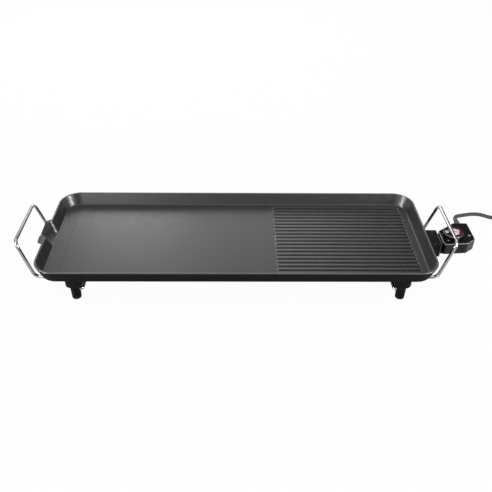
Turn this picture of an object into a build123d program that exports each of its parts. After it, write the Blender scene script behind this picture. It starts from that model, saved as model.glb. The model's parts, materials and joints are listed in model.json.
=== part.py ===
from build123d import *
import math
import os

os.makedirs("parts", exist_ok=True)

# Electric table griddle. Millimetres, +X along the plate, +Y towards the back, +Z up from the table.
# Sizes are written about the middle of the plate, and PLATE_X moves them to the middle of the whole.

# Cooking plate
RIM_LENGTH = 641.0
RIM_DEPTH = 238.0
RIM_CORNER = 36.0
RIM_HEIGHT = 72.0
PLATE_DEPTH = 26.0
FLOOR_DEPTH = 20.0
WALL_LEAN = 10.0
WALL = 3.6
RIM_ROUND = 1.2
FLOOR_FILLET = 3.0
UNDER_FILLET = 8.0
PLATEAU_RISE = 0.5
PLATEAU_MARGIN = 8.0
RUN_OFF = 24.0

# Ribbed zone: grooves with rib tops level with the flat zone, clear of the plateau's end and sides
GROOVE_PITCH = 10.0
GROOVE_WIDTH = 5.6
GROOVE_DEPTH = 3.0
GROOVE_TAPER = 22.0
GROOVE_ROUND = 1.2
GROOVE_LENGTH = 233.0
GROOVE_END_GAP = 4.2
GROOVE_SIDE_GAP = 1.6

# Pouring spout in the left wall
SPOUT_REACH = 15.5
SPOUT_RAKE = 7.5
SPOUT_RISE = 3.5
SPOUT_CHEEK_DROP = 1.2
SPOUT_MOUTH = 28.0
SPOUT_DRAFT = 5.5
SPOUT_TAPER = 4.0
SPOUT_FLARE = 9.0
SPOUT_WALL = 3.0

# Feet, their middles in from the ends and sides of the rim
FOOT_IN_LEFT = 58.5
FOOT_IN_RIGHT = 53.0
FOOT_IN_SIDE = 29.0
FLANGE_LENGTH = 27.0
FLANGE_DEPTH = 24.0
FLANGE_THICK = 19.5
FLANGE_CORNER = 9.0
FLANGE_ROUND = 4.0
STEM_TOP = 16.5
STEM_TIP = 15.2
STEM_BORE = 8.8
PAD_HEIGHT = 4.0
PAD_ROUND = 2.0
PAD_SPIGOT_SHARE = 0.27
BOSS = 9.0
BOSS_DROP = 6.0
WEB = 9.5

# Wire handles, their bars and knees out past the ends of the rim
WIRE = 5.6
BAR_OUT = 35.0
BAR_Y = 57.0
BAR_RISE = 14.0
BAR_BEND = 11.0
KNEE_OUT = 13.5
KNEE_Y = 61.0
KNEE_BEND = 12.0
HOOK = 11.5
HOOK_BEND = 4.0
WIRE_STEM_SHARE = 0.65
WIRE_PAST = 1.0
WIRE_END_CHAMFER = 0.6

# Screws
SCREW = 3.8
SCREW_HEAD = 7.4
SCREW_HEAD_H = 2.6
SCREW_BITE = 7.5
CASE_SCREW = 2.8
CASE_SCREW_HEAD = 5.2
CASE_SCREW_HEAD_H = 2.0

# Heating element, terminals and socket, in from the ends of the rim and about the terminals' axis
TUBE = 8.0
TERMINAL_Y = 12.5
ELEMENT_RUN_Y = 58.0
ELEMENT_IN_LEFT = 48.5
ELEMENT_IN_RIGHT = 74.5
ELEMENT_IN_NECK = 48.5
ELEMENT_IN_END = 18.5
ELEMENT_BEND = 20.0
LAND_WIDTH = 14.0
SEAL_LENGTH = 4.0
SEAL = 7.0
PIN = 4.8
PIN_SHY = 7.6
EARTH_PIN = 3.6
EARTH_RISE = 6.8
EARTH_IN = 20.5
PROBE = 6.0
PROBE_IN = 60.5
PROBE_PAST = 10.0
PROBE_BOSS = 16.0
PROBE_BOSS_IN = 68.5
PROBE_ROOM = 0.3
SOCKET_OUT = 25.1
SOCKET_GAP = 0.4
SOCKET_WIDTH = 44.0
SOCKET_ABOVE = 16.5
SOCKET_BELOW = 12.5
SOCKET_WALL = 2.5
SOCKET_CORNER = 2.0
SOCKET_LIP = 0.8
EAR_IN = 23.5
EAR_Y = 30.0
EAR = 14.0
EAR_THICK = 3.5
EAR_PAD = 4.0

# Control plug, heights about the terminals' axis, places along it from the case's left face
NOSE_ROOM = 0.4
NOSE_SHY = 1.5
NOSE_HOLD = 6.0
CASE_GAP = 0.4
CASE_LENGTH = 56.5
CASE_BACK = 33.5
CASE_FRONT = 30.5
CASE_FRONT_SKEW = 3.5
CASE_CHAMFER_X = 15.7
CASE_CHAMFER_Y = 12.6
CASE_SHOULDER_FRONT = 22.4
CASE_SHOULDER_BACK = 9.3
CASE_SHOULDER_X = 1.8
CASE_BULGE = 24.5
CASE_ABOVE = 21.5
PARTING_ABOVE = 6.0
SKIRT_ABOVE = 1.5
CASE_BELOW = 6.0
CASE_BELLY = 10.5
CASE_WALL = 2.2
CASE_CORNER = 2.6
CASE_ROUND = 1.2
SLEEVE = 8.0
EARTH_SLEEVE = 5.4
SLEEVE_INSET = 1.0
RIDGE = 1.6
RIDGE_COUNT = 4
RIDGE_PITCH = 3.2
RIDGE_AT = 33.0
RIDGE_MARGIN = 1.4
CASE_SCREW_SPOTS = ((26.0, -13.5), (42.0, 17.5))
POST = 6.4

# Dial and its spindle
DIAL_AT = 21.3
DIAL_Y = -3.0
DIAL = 33.4
DIAL_HEIGHT = 9.5
DIAL_GAP = 0.4
DIAL_EDGE = 1.6
DIAL_GRIP_WIDTH = 5.0
DIAL_GRIP_LENGTH = 22.0
DIAL_GRIP_HEIGHT = 2.4
DIAL_GRIP_TAPER = 8.0
SPINDLE = 6.0
SPINDLE_FLAT = 1.0
SPINDLE_GAP = 1.3
SPINDLE_REACH = 6.0
SPINDLE_FIT = 0.04
SPINDLE_ROOM = 0.6
BUSH = 9.0
BUSH_ABOVE = 4.0
BUSH_BELOW = 2.0

# Thermostat works
FRAME_AT = 14.0
FRAME_LENGTH = 26.0
FRAME_WIDTH = 12.0
SHEET = 1.5
BRIDGE_DROP = 6.3
STACK_AT = 30.0
STACK_LENGTH = 7.0
STACK_WIDTH = 6.0
INSULATOR_LOW = 1.9
INSULATOR_MID = 3.9
INSULATOR_TOP = 4.1
LEAF = 0.5
LEAF_WIDTH = 5.0
LEAF_AT = 12.0
CONTACT = 3.6
CONTACT_GAP = 0.6

# Pilot lamp
LENS_AT = 49.5
LENS_Y = -4.6
LENS_LENGTH = 5.0
LENS_WIDTH = 3.4
LENS_PROUD = 0.4
LENS_FLANGE = 1.0
LAMP = 4.0
LAMP_LENGTH = 12.0

# Cord, its coil out past the control plug
CORD = 7.0
BOOT_IN = 11.0
BOOT_ABOVE = 11.0
BOOT_LENGTH = 18.0
BOOT_ROOT = 10.4
BOOT_TIP = 8.6
BOOT_NECK = 8.0
BOOT_FLANGE_WIDTH = 13.0
BOOT_FLANGE_HEIGHT = 8.2
BOOT_FLANGE_THICK = 2.5
COIL_PAST = 153.5
COIL_Y = 90.0
COIL_LIFT = 1.6
COIL_RADIUS = 48.5
COIL_STEP = 9.2
COIL_LAYER = 7.6
COIL_IN = 4
COIL_OUT = 5
TIE_BAND = 8.0
TIE_SHEET = 0.9
TIE_ROOM = 0.6
PLUG_FACE = 36.0
PLUG_LENGTH = 34.0
PLUG_NECK = 17.0
PLUG_BOOT_LENGTH = 24.0
PLUG_PIN = 4.8
PLUG_PIN_LENGTH = 19.0
PLUG_PIN_PITCH = 19.0
CLIP_WIDTH = 6.0
CLIP_SHEET = 1.2
CLIP_LENGTH = 22.0

# Fits
SNUG = 0.05
RUNNING = 0.1

# Derived places of the plate, its feet and handles
RIM_END = RIM_LENGTH / 2
RIM_SIDE = RIM_DEPTH / 2
UNDERSIDE = RIM_HEIGHT - PLATE_DEPTH
FLOOR_Z = RIM_HEIGHT - FLOOR_DEPTH
PLATEAU_Z = FLOOR_Z + PLATEAU_RISE
LEAN_AT_FLOOR = WALL_LEAN * FLOOR_DEPTH / PLATE_DEPTH
FLOOR_INSET = LEAN_AT_FLOOR + WALL
PLATEAU_DEPTH = RIM_DEPTH - 2 * (FLOOR_INSET + PLATEAU_MARGIN)
PLATEAU_LEFT = RIM_END - FLOOR_INSET - RUN_OFF
PLATEAU_RIGHT = RIM_END - FLOOR_INSET - PLATEAU_MARGIN
GROOVE_COUNT = 1 + int((PLATEAU_DEPTH - 2 * GROOVE_SIDE_GAP - GROOVE_WIDTH) / GROOVE_PITCH)
GROOVE_MIDDLE = PLATEAU_RIGHT - GROOVE_END_GAP - GROOVE_LENGTH / 2
FOOT_X = {-1: RIM_END - FOOT_IN_LEFT, 1: RIM_END - FOOT_IN_RIGHT}
FOOT_Y = RIM_SIDE - FOOT_IN_SIDE
FLANGE_Z = UNDERSIDE - FLANGE_THICK
STEM_LENGTH = FLANGE_Z - PAD_HEIGHT
BAR_X = RIM_END + BAR_OUT
BAR_Z = RIM_HEIGHT + BAR_RISE
KNEE_X = RIM_END + KNEE_OUT
KNEE_Z = PAD_HEIGHT + STEM_LENGTH * WIRE_STEM_SHARE

# Derived places of the element, the socket and the control plug
AXIS_Z = UNDERSIDE - TUBE / 2
EARTH_Z = AXIS_Z + EARTH_RISE
ELEMENT_LEFT = RIM_END - ELEMENT_IN_LEFT
ELEMENT_RIGHT = RIM_END - ELEMENT_IN_RIGHT
ELEMENT_NECK = RIM_END - ELEMENT_IN_NECK
ELEMENT_END = RIM_END - ELEMENT_IN_END
EARTH_START = RIM_END - EARTH_IN
PROBE_TIP = RIM_END - PROBE_IN
PROBE_BOSS_LEFT = RIM_END - PROBE_BOSS_IN
EAR_X = RIM_END - EAR_IN
SOCKET_TOP = AXIS_Z + SOCKET_ABOVE
SOCKET_BOTTOM = AXIS_Z - SOCKET_BELOW
SOCKET_BACK = RIM_END - WALL_LEAN * (RIM_HEIGHT - SOCKET_TOP) / PLATE_DEPTH + SOCKET_GAP
SOCKET_MOUTH = RIM_END + SOCKET_OUT
PIN_TIP = SOCKET_MOUTH - PIN_SHY
NOSE_BACK = SOCKET_BACK + SOCKET_WALL + NOSE_SHY
CASE_LEFT = SOCKET_MOUTH + CASE_GAP
CASE_RIGHT = CASE_LEFT + CASE_LENGTH
CASE_TOP = AXIS_Z + CASE_ABOVE
CASE_PARTING = AXIS_Z + PARTING_ABOVE
CASE_SKIRT = AXIS_Z + SKIRT_ABOVE
CASE_BOTTOM = AXIS_Z - CASE_BELOW
INNER_FLOOR = CASE_BOTTOM + CASE_WALL
INNER_ROOF = CASE_TOP - CASE_WALL
SLEEVE_BACK = CASE_LEFT + NOSE_HOLD
PROBE_BACK = CASE_LEFT + PROBE_PAST
RIDGE_MIDDLE = CASE_LEFT + RIDGE_AT
DIAL_X = CASE_LEFT + DIAL_AT
DIAL_TOP = CASE_TOP + DIAL_HEIGHT
BASE_TOP = INNER_FLOOR + SHEET
BRIDGE_Z = INNER_ROOF - BRIDGE_DROP
BUSH_BOTTOM = BRIDGE_Z - BUSH_BELOW
BUSH_TOP = BRIDGE_Z + BUSH_ABOVE
LEAF_LEFT = CASE_LEFT + LEAF_AT
LEAF_LOW = BASE_TOP + INSULATOR_LOW
LEAF_HIGH = LEAF_LOW + LEAF + INSULATOR_MID
STACK_LEFT = CASE_LEFT + STACK_AT
STACK_TOP = LEAF_HIGH + LEAF + INSULATOR_TOP
SPINDLE_BOTTOM = LEAF_HIGH + LEAF + SPINDLE_GAP
SPINDLE_TOP = CASE_TOP + SPINDLE_REACH
LENS_X = CASE_LEFT + LENS_AT
BOOT_X = CASE_RIGHT - BOOT_IN
BOOT_Z = AXIS_Z + BOOT_ABOVE
COIL_X = CASE_RIGHT + COIL_PAST
COIL_Z = CORD / 2 + COIL_LIFT

# The whole griddle, from the left handle to the control plug, is centred on the frame's origin
PLATE_X = (BAR_X + WIRE / 2 - CASE_RIGHT) / 2


def at(x, y, z):
    """A point given about the middle of the plate, in the frame of the whole griddle."""
    return (PLATE_X + x, y, z)


def level(x, y, z):
    """A plane facing up."""
    return Plane(at(x, y, z))


def facing_right(x, y, z):
    """A plane facing +X, with Y across it and Z up it."""
    return Plane(at(x, y, z), x_dir=(0, 1, 0), z_dir=(1, 0, 0))


def facing_back(x, y, z):
    """A plane facing +Y, with X across it, reversed, and Z up it."""
    return Plane(at(x, y, z), x_dir=(-1, 0, 0), z_dir=(0, 1, 0))


def side_view():
    """The upright plane through the plate's middle, with X across it and Z up it."""
    return Plane(at(0, 0, 0), x_dir=(1, 0, 0), z_dir=(0, -1, 0))


def save(part, name):
    part.label = name
    export_step(part, f"parts/{name}.step")


# The spout is a chute through the left wall, its floor rising a little from the cooking floor to the lip.
# Its cheeks lean with the wall, and their rounds cross the wall's inner face at the angle MEET.
MEET = math.radians(12.0)
spout_past = 2.0
spout_lip_x = RIM_END + SPOUT_REACH
spout_lip_z = FLOOR_Z + SPOUT_RISE
spout_wall_x = RIM_END - FLOOR_INSET
spout_foot_x = spout_wall_x - FLOOR_FILLET
spout_root_x = RIM_END - LEAN_AT_FLOOR - WALL * 0.35
spout_far_x = spout_lip_x + spout_past
spout_slope = SPOUT_RISE / (spout_lip_x - spout_foot_x)
spout_cheek_x = spout_wall_x + SPOUT_FLARE * math.cos(MEET)
spout_end_x = spout_far_x + FLOOR_DEPTH
spout_end_z = spout_lip_z + spout_slope * (spout_end_x - spout_lip_x)
spout_reach_y = SPOUT_MOUTH + SPOUT_DRAFT + SPOUT_FLARE + SPOUT_WALL


def chute_plan(share):
    """The chute's plan at a share of the way up from the floor to the rim, flared at its inner end."""
    half = SPOUT_MOUTH / 2 + SPOUT_DRAFT * share
    shift = LEAN_AT_FLOOR * share
    with BuildSketch(level(0, 0, FLOOR_Z + FLOOR_DEPTH * share)) as plan:
        with BuildLine():
            starts = []
            tips = []
            for side in (-1, 1):
                centre = Vector(-spout_cheek_x - shift, side * (half + SPOUT_FLARE))
                spots = []
                for turn in (MEET, (MEET + math.pi / 2) / 2, math.pi / 2):
                    spots.append(centre + Vector(math.cos(turn), -side * math.sin(turn)) * SPOUT_FLARE)
                starts.append((-spout_foot_x - shift, spots[0].Y))
                tips.append((-spout_far_x - shift, side * (half - SPOUT_TAPER)))
                ThreePointArc(*spots)
                Line(spots[-1], tips[-1])
                Line(spots[0], starts[-1])
            Line(*starts)
            Line(*tips)
        make_face()
    return plan.sketch


def beak_plan(share):
    """The outline round the chute's plan at the same share of the way up."""
    half = SPOUT_MOUTH / 2 + SPOUT_DRAFT * share + SPOUT_WALL
    shift = LEAN_AT_FLOOR * share
    with BuildSketch(level(0, 0, FLOOR_Z + FLOOR_DEPTH * share)) as plan:
        with BuildLine():
            Polyline(
                (-spout_foot_x - shift, half + SPOUT_FLARE),
                (-spout_far_x - shift, half - SPOUT_TAPER),
                (-spout_far_x - shift, SPOUT_TAPER - half),
                (-spout_foot_x - shift, -half - SPOUT_FLARE),
                close=True,
            )
        make_face()
    return plan.sketch


with BuildPart() as spout_body:
    loft([beak_plan(-SPOUT_WALL / FLOOR_DEPTH), beak_plan(1)], ruled=True)
    with BuildSketch(side_view()):
        with BuildLine():
            Polyline(
                (-(RIM_END - WALL * 0.7), RIM_HEIGHT),
                (-RIM_END, RIM_HEIGHT),
                (-spout_lip_x + SPOUT_RAKE, RIM_HEIGHT - SPOUT_CHEEK_DROP),
                (-spout_lip_x, spout_lip_z),
                (-spout_lip_x, spout_lip_z - SPOUT_WALL),
                (-spout_root_x, spout_lip_z - SPOUT_WALL - spout_slope * (spout_lip_x - spout_root_x)),
                close=True,
            )
        make_face()
    extrude(amount=spout_reach_y, both=True, mode=Mode.INTERSECT)

with BuildPart() as spout_channel:
    loft([chute_plan(0), chute_plan(1 + spout_past / FLOOR_DEPTH)], ruled=True)
    with BuildSketch(side_view()):
        with BuildLine():
            Polyline(
                (-spout_foot_x, FLOOR_Z),
                (-spout_end_x, spout_end_z),
                (-spout_end_x, RIM_HEIGHT + spout_past),
                (-spout_foot_x, RIM_HEIGHT + spout_past),
                close=True,
            )
        make_face()
    extrude(amount=spout_reach_y, both=True, mode=Mode.INTERSECT)

# The heating element is one bent tube, out of the socket, round the plate and back
element_points = [
    at(ELEMENT_END, TERMINAL_Y, AXIS_Z),
    at(ELEMENT_NECK, TERMINAL_Y, AXIS_Z),
    at(ELEMENT_RIGHT, ELEMENT_RUN_Y, AXIS_Z),
    at(-ELEMENT_LEFT, ELEMENT_RUN_Y, AXIS_Z),
    at(-ELEMENT_LEFT, -ELEMENT_RUN_Y, AXIS_Z),
    at(ELEMENT_RIGHT, -ELEMENT_RUN_Y, AXIS_Z),
    at(ELEMENT_NECK, -TERMINAL_Y, AXIS_Z),
    at(ELEMENT_END, -TERMINAL_Y, AXIS_Z),
]
element_start = Plane(element_points[0], x_dir=(0, 1, 0), z_dir=(-1, 0, 0))
with BuildLine() as element_route:
    FilletPolyline(*element_points, radius=ELEMENT_BEND)

with BuildPart() as heating_element:
    with BuildSketch(element_start):
        Circle(TUBE / 2)
    sweep(path=element_route.line)

with BuildPart() as element_land:
    land_rise = UNDERSIDE - AXIS_Z
    with BuildSketch(element_start):
        with Locations((0, -land_rise / 2)):
            Rectangle(LAND_WIDTH, land_rise)
    sweep(path=element_route.line)

with BuildPart() as element_groove:
    with BuildSketch(element_start):
        Circle(TUBE / 2 + SNUG)
    sweep(path=element_route.line)

foot_spots = {
    "front_left": (-1, -1),
    "front_right": (1, -1),
    "back_left": (-1, 1),
    "back_right": (1, 1),
}
screw_top = UNDERSIDE + SCREW_BITE - BOSS_DROP

with BuildPart() as grill_plate:
    for height, inset in ((UNDERSIDE, WALL_LEAN), (RIM_HEIGHT, 0)):
        with BuildSketch(level(0, 0, height)):
            RectangleRounded(RIM_LENGTH - 2 * inset, RIM_DEPTH - 2 * inset, RIM_CORNER - inset)
    loft(ruled=True)
    fillet(grill_plate.edges().group_by(Axis.Z)[0], UNDER_FILLET)
    for height, inset in ((FLOOR_Z, FLOOR_INSET), (RIM_HEIGHT, WALL)):
        with BuildSketch(level(0, 0, height)):
            RectangleRounded(RIM_LENGTH - 2 * inset, RIM_DEPTH - 2 * inset, RIM_CORNER - inset)
    loft(ruled=True, mode=Mode.SUBTRACT)
    fillet(grill_plate.edges().filter_by_position(Axis.Z, FLOOR_Z, FLOOR_Z), FLOOR_FILLET)
    fillet(grill_plate.edges().group_by(Axis.Z)[-1], RIM_ROUND)
    add(spout_body.part)
    add(spout_channel.part, mode=Mode.SUBTRACT)
    # A low plateau carries the food; the strip left of it runs off to the spout
    with BuildSketch(level((PLATEAU_RIGHT - PLATEAU_LEFT) / 2, 0, FLOOR_Z)):
        RectangleRounded(PLATEAU_LEFT + PLATEAU_RIGHT, PLATEAU_DEPTH, PLATEAU_MARGIN)
    extrude(amount=PLATEAU_RISE, taper=45)
    with BuildSketch(level(GROOVE_MIDDLE, 0, PLATEAU_Z)):
        with GridLocations(0, GROOVE_PITCH, 1, GROOVE_COUNT):
            SlotOverall(GROOVE_LENGTH, GROOVE_WIDTH)
    extrude(amount=-GROOVE_DEPTH, taper=GROOVE_TAPER, mode=Mode.SUBTRACT)
    groove_left = PLATE_X + GROOVE_MIDDLE - GROOVE_LENGTH / 2 - 1
    groove_right = PLATE_X + GROOVE_MIDDLE + GROOVE_LENGTH / 2 + 1
    groove_reach = (GROOVE_COUNT - 1) * GROOVE_PITCH / 2 + GROOVE_WIDTH
    lips = grill_plate.edges().filter_by_position(Axis.Z, PLATEAU_Z, PLATEAU_Z)
    lips = lips.filter_by_position(Axis.X, groove_left, groove_right)
    lips = lips.filter_by_position(Axis.Y, -groove_reach, groove_reach)
    fillet(lips, GROOVE_ROUND)
    # Underneath: the element's land, the probe's boss, seats for the socket's ears and the feet
    add(element_land.part)
    with BuildSketch(facing_right(PROBE_BOSS_LEFT, 0, (UNDERSIDE + AXIS_Z) / 2 - PROBE / 2)):
        Rectangle(PROBE_BOSS, UNDERSIDE - AXIS_Z + PROBE)
    extrude(amount=RIM_END - WALL_LEAN - UNDER_FILLET - PROBE_BOSS_LEFT)
    with BuildSketch(level(0, 0, UNDERSIDE)):
        with Locations((EAR_X, EAR_Y), (EAR_X, -EAR_Y)):
            Rectangle(EAR, EAR)
    extrude(amount=-EAR_PAD)
    with BuildSketch(level(0, 0, UNDERSIDE)):
        for sx, sy in foot_spots.values():
            with Locations((sx * FOOT_X[sx], sy * FOOT_Y)):
                Circle(BOSS / 2)
    extrude(amount=-BOSS_DROP)
    add(element_groove.part, mode=Mode.SUBTRACT)
    with BuildSketch(facing_right(PROBE_TIP - PROBE_ROOM * 4, 0, AXIS_Z)):
        Circle(PROBE / 2 + PROBE_ROOM)
    extrude(amount=RIM_END, mode=Mode.SUBTRACT)
    with BuildSketch(facing_right(EARTH_START, 0, EARTH_Z)):
        Circle(EARTH_PIN / 2 + SNUG)
    extrude(amount=RIM_END, mode=Mode.SUBTRACT)
    with BuildSketch(level(0, 0, screw_top)):
        for sx, sy in foot_spots.values():
            with Locations((sx * FOOT_X[sx], sy * FOOT_Y)):
                Circle(SCREW / 2 + SNUG)
        with Locations((EAR_X, EAR_Y), (EAR_X, -EAR_Y)):
            Circle(SCREW / 2 + SNUG)
    extrude(amount=-UNDERSIDE, mode=Mode.SUBTRACT)

save(grill_plate.part, "grill_plate")
save(heating_element.part, "heating_element")

# Terminals at the element's two ends, and the plate's earth pin between them
with BuildPart() as element_seals:
    with BuildSketch(facing_right(ELEMENT_END, 0, AXIS_Z)):
        with Locations((TERMINAL_Y, 0), (-TERMINAL_Y, 0)):
            Circle(SEAL / 2)
    extrude(amount=SEAL_LENGTH)
save(element_seals.part, "element_seals")

with BuildPart() as terminal_pins:
    with BuildSketch(facing_right(ELEMENT_END + SEAL_LENGTH, 0, AXIS_Z)):
        with Locations((TERMINAL_Y, 0), (-TERMINAL_Y, 0)):
            Circle(PIN / 2)
    extrude(amount=PIN_TIP - ELEMENT_END - SEAL_LENGTH)
    chamfer(terminal_pins.edges().group_by(Axis.X)[-1], PIN / 6)
save(terminal_pins.part, "terminal_pins")

with BuildPart() as earth_pin:
    with BuildSketch(facing_right(EARTH_START, 0, EARTH_Z)):
        Circle(EARTH_PIN / 2)
    extrude(amount=PIN_TIP - EARTH_START)
    chamfer(earth_pin.edges().group_by(Axis.X)[-1], EARTH_PIN / 6)
save(earth_pin.part, "earth_pin")

# Socket shroud round the terminals, hung from two ears under the plate
socket_mid_z = (SOCKET_TOP + SOCKET_BOTTOM) / 2
socket_height = SOCKET_TOP - SOCKET_BOTTOM
ear_top = UNDERSIDE - EAR_PAD
ear_left = EAR_X - EAR / 2
with BuildPart() as socket_shroud:
    with BuildSketch(facing_right(SOCKET_BACK, 0, socket_mid_z)):
        RectangleRounded(SOCKET_WIDTH, socket_height, SOCKET_CORNER + SOCKET_WALL)
    extrude(amount=SOCKET_MOUTH - SOCKET_BACK)
    with BuildSketch(facing_right(SOCKET_MOUTH, 0, socket_mid_z)):
        RectangleRounded(SOCKET_WIDTH - 2 * SOCKET_WALL, socket_height - 2 * SOCKET_WALL, SOCKET_CORNER)
    extrude(amount=SOCKET_BACK + SOCKET_WALL - SOCKET_MOUTH, mode=Mode.SUBTRACT)
    fillet(socket_shroud.edges().group_by(Axis.X)[-1], SOCKET_LIP)
    with BuildSketch(facing_right(SOCKET_BACK, 0, (SOCKET_BOTTOM + ear_top) / 2)):
        Rectangle(2 * EAR_Y + EAR, ear_top - SOCKET_BOTTOM)
        Rectangle(SOCKET_WIDTH - 2 * SOCKET_WALL, ear_top - SOCKET_BOTTOM, mode=Mode.SUBTRACT)
    extrude(amount=SOCKET_WALL)
    with BuildSketch(level(0, 0, ear_top)):
        with Locations(((ear_left + SOCKET_BACK) / 2, EAR_Y), ((ear_left + SOCKET_BACK) / 2, -EAR_Y)):
            Rectangle(SOCKET_BACK - ear_left, EAR)
    extrude(amount=-EAR_THICK)
    with BuildSketch(facing_right(SOCKET_BACK, 0, AXIS_Z)):
        with Locations((TERMINAL_Y, 0), (-TERMINAL_Y, 0)):
            Circle(PIN / 2 + NOSE_ROOM)
        Circle(PROBE / 2 + PROBE_ROOM)
        with Locations((0, EARTH_Z - AXIS_Z)):
            Circle(EARTH_PIN / 2 + NOSE_ROOM)
    extrude(amount=SOCKET_WALL, mode=Mode.SUBTRACT)
    with BuildSketch(level(0, 0, ear_top)):
        with Locations((EAR_X, EAR_Y), (EAR_X, -EAR_Y)):
            Circle(SCREW / 2 + RUNNING)
    extrude(amount=-EAR_THICK, mode=Mode.SUBTRACT)
save(socket_shroud.part, "socket_shroud")

with BuildPart() as shroud_screws:
    head_z = ear_top - EAR_THICK
    with BuildSketch(level(0, 0, head_z)):
        with Locations((EAR_X, EAR_Y), (EAR_X, -EAR_Y)):
            Circle(SCREW_HEAD / 2)
    extrude(amount=-SCREW_HEAD_H)
    fillet(shroud_screws.edges().group_by(Axis.Z)[0], SCREW_HEAD_H / 3)
    with BuildSketch(level(0, 0, head_z)):
        with Locations((EAR_X, EAR_Y), (EAR_X, -EAR_Y)):
            Circle(SCREW / 2)
    extrude(amount=screw_top - SNUG - head_z)
save(shroud_screws.part, "shroud_screws")

# Feet: a flange against the plate, a hollow tapered stem that the handle's wire hooks into, a rubber pad
boss_end = UNDERSIDE - BOSS_DROP
web_bottom = boss_end - WEB
for name, (sx, sy) in foot_spots.items():
    foot_x = sx * FOOT_X[sx]
    foot_y = sy * FOOT_Y
    with BuildPart() as foot:
        with BuildSketch(level(foot_x, foot_y, FLANGE_Z)):
            RectangleRounded(FLANGE_LENGTH, FLANGE_DEPTH, FLANGE_CORNER)
        extrude(amount=FLANGE_THICK)
        fillet(foot.edges().group_by(Axis.Z)[0], FLANGE_ROUND)
        with BuildSketch(level(foot_x, foot_y, FLANGE_Z)):
            Circle(STEM_TOP / 2)
        with BuildSketch(level(foot_x, foot_y, PAD_HEIGHT)):
            Circle(STEM_TIP / 2)
        loft()
        with BuildSketch(level(foot_x, foot_y, PAD_HEIGHT)):
            Circle(STEM_BORE / 2)
        extrude(amount=web_bottom - PAD_HEIGHT, mode=Mode.SUBTRACT)
        with BuildSketch(level(foot_x, foot_y, UNDERSIDE)):
            Circle(BOSS / 2 + RUNNING)
        extrude(amount=-BOSS_DROP - RUNNING, mode=Mode.SUBTRACT)
        with BuildSketch(level(foot_x, foot_y, web_bottom)):
            Circle(SCREW / 2 + RUNNING)
        extrude(amount=WEB, mode=Mode.SUBTRACT)
        with BuildSketch(facing_right(foot_x, foot_y, KNEE_Z)):
            Circle(WIRE / 2 + SNUG)
        extrude(amount=-sx * STEM_TOP, mode=Mode.SUBTRACT)
    save(foot.part, f"foot_{name}")

    with BuildPart() as pad:
        with BuildSketch(level(foot_x, foot_y, 0)):
            Circle(STEM_TIP / 2)
        extrude(amount=PAD_HEIGHT)
        fillet(pad.edges().group_by(Axis.Z)[0], PAD_ROUND)
        with BuildSketch(level(foot_x, foot_y, PAD_HEIGHT)):
            Circle(STEM_BORE / 2 - RUNNING)
        extrude(amount=STEM_LENGTH * PAD_SPIGOT_SHARE)
    save(pad.part, f"foot_pad_{name}")

with BuildPart() as foot_screws:
    with BuildSketch(level(0, 0, web_bottom)):
        for sx, sy in foot_spots.values():
            with Locations((sx * FOOT_X[sx], sy * FOOT_Y)):
                Circle(SCREW_HEAD / 2)
    extrude(amount=-SCREW_HEAD_H)
    fillet(foot_screws.edges().group_by(Axis.Z)[0], SCREW_HEAD_H / 3)
    with BuildSketch(level(0, 0, web_bottom)):
        for sx, sy in foot_spots.values():
            with Locations((sx * FOOT_X[sx], sy * FOOT_Y)):
                Circle(SCREW / 2)
    extrude(amount=screw_top - SNUG - web_bottom)
save(foot_screws.part, "foot_screws")

# Handles: one bent wire each, under the plate to the feet on that side, hooked into their stems
for name, side in (("left", -1), ("right", 1)):
    hook_x = side * (FOOT_X[side] - HOOK)
    tip_x = side * (FOOT_X[side] + WIRE_PAST)
    front_half = [
        (tip_x, -FOOT_Y, KNEE_Z),
        (hook_x, -FOOT_Y, KNEE_Z),
        (hook_x, -KNEE_Y, KNEE_Z),
        (side * KNEE_X, -KNEE_Y, KNEE_Z),
        (side * BAR_X, -BAR_Y, BAR_Z),
    ]
    back_half = [(x, -y, z) for x, y, z in reversed(front_half)]
    wire_points = [at(*point) for point in front_half + back_half]
    half_bends = [HOOK_BEND, HOOK_BEND, KNEE_BEND, BAR_BEND]
    with BuildPart() as handle:
        with BuildLine() as wire_line:
            FilletPolyline(*wire_points, radius=half_bends + half_bends[::-1])
        with BuildSketch(Plane(wire_line.line @ 0, z_dir=wire_line.line % 0)):
            Circle(WIRE / 2)
        sweep(path=wire_line.line)
        rings = handle.edges().filter_by(GeomType.CIRCLE)
        tips = [ring for ring in rings if abs(ring.center().X - PLATE_X - tip_x) < WIRE_PAST]
        chamfer(tips, WIRE_END_CHAMFER)
    save(handle.part, f"handle_{name}")


# Control plug: its plan is straight at the socket and in front, with a bulge at the back for the cord
def case_section(height, inset):
    corners = [
        (CASE_LEFT, CASE_SHOULDER_BACK),
        (CASE_LEFT, -CASE_SHOULDER_FRONT),
        (CASE_LEFT + CASE_SHOULDER_X, -CASE_FRONT),
        (CASE_RIGHT - CASE_CHAMFER_X, -CASE_FRONT + CASE_FRONT_SKEW),
        (CASE_RIGHT, -CASE_FRONT + CASE_FRONT_SKEW + CASE_CHAMFER_Y),
        (CASE_RIGHT, CASE_BACK),
        (CASE_RIGHT - CASE_BULGE, CASE_BACK),
    ]
    with BuildSketch(level(0, 0, height)) as section:
        with BuildLine():
            Polyline(*corners, close=True)
        make_face()
        if inset > 0:
            offset(amount=-inset, kind=Kind.INTERSECTION, mode=Mode.REPLACE)
        fillet(section.vertices(), CASE_CORNER)
    return section.sketch


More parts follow.
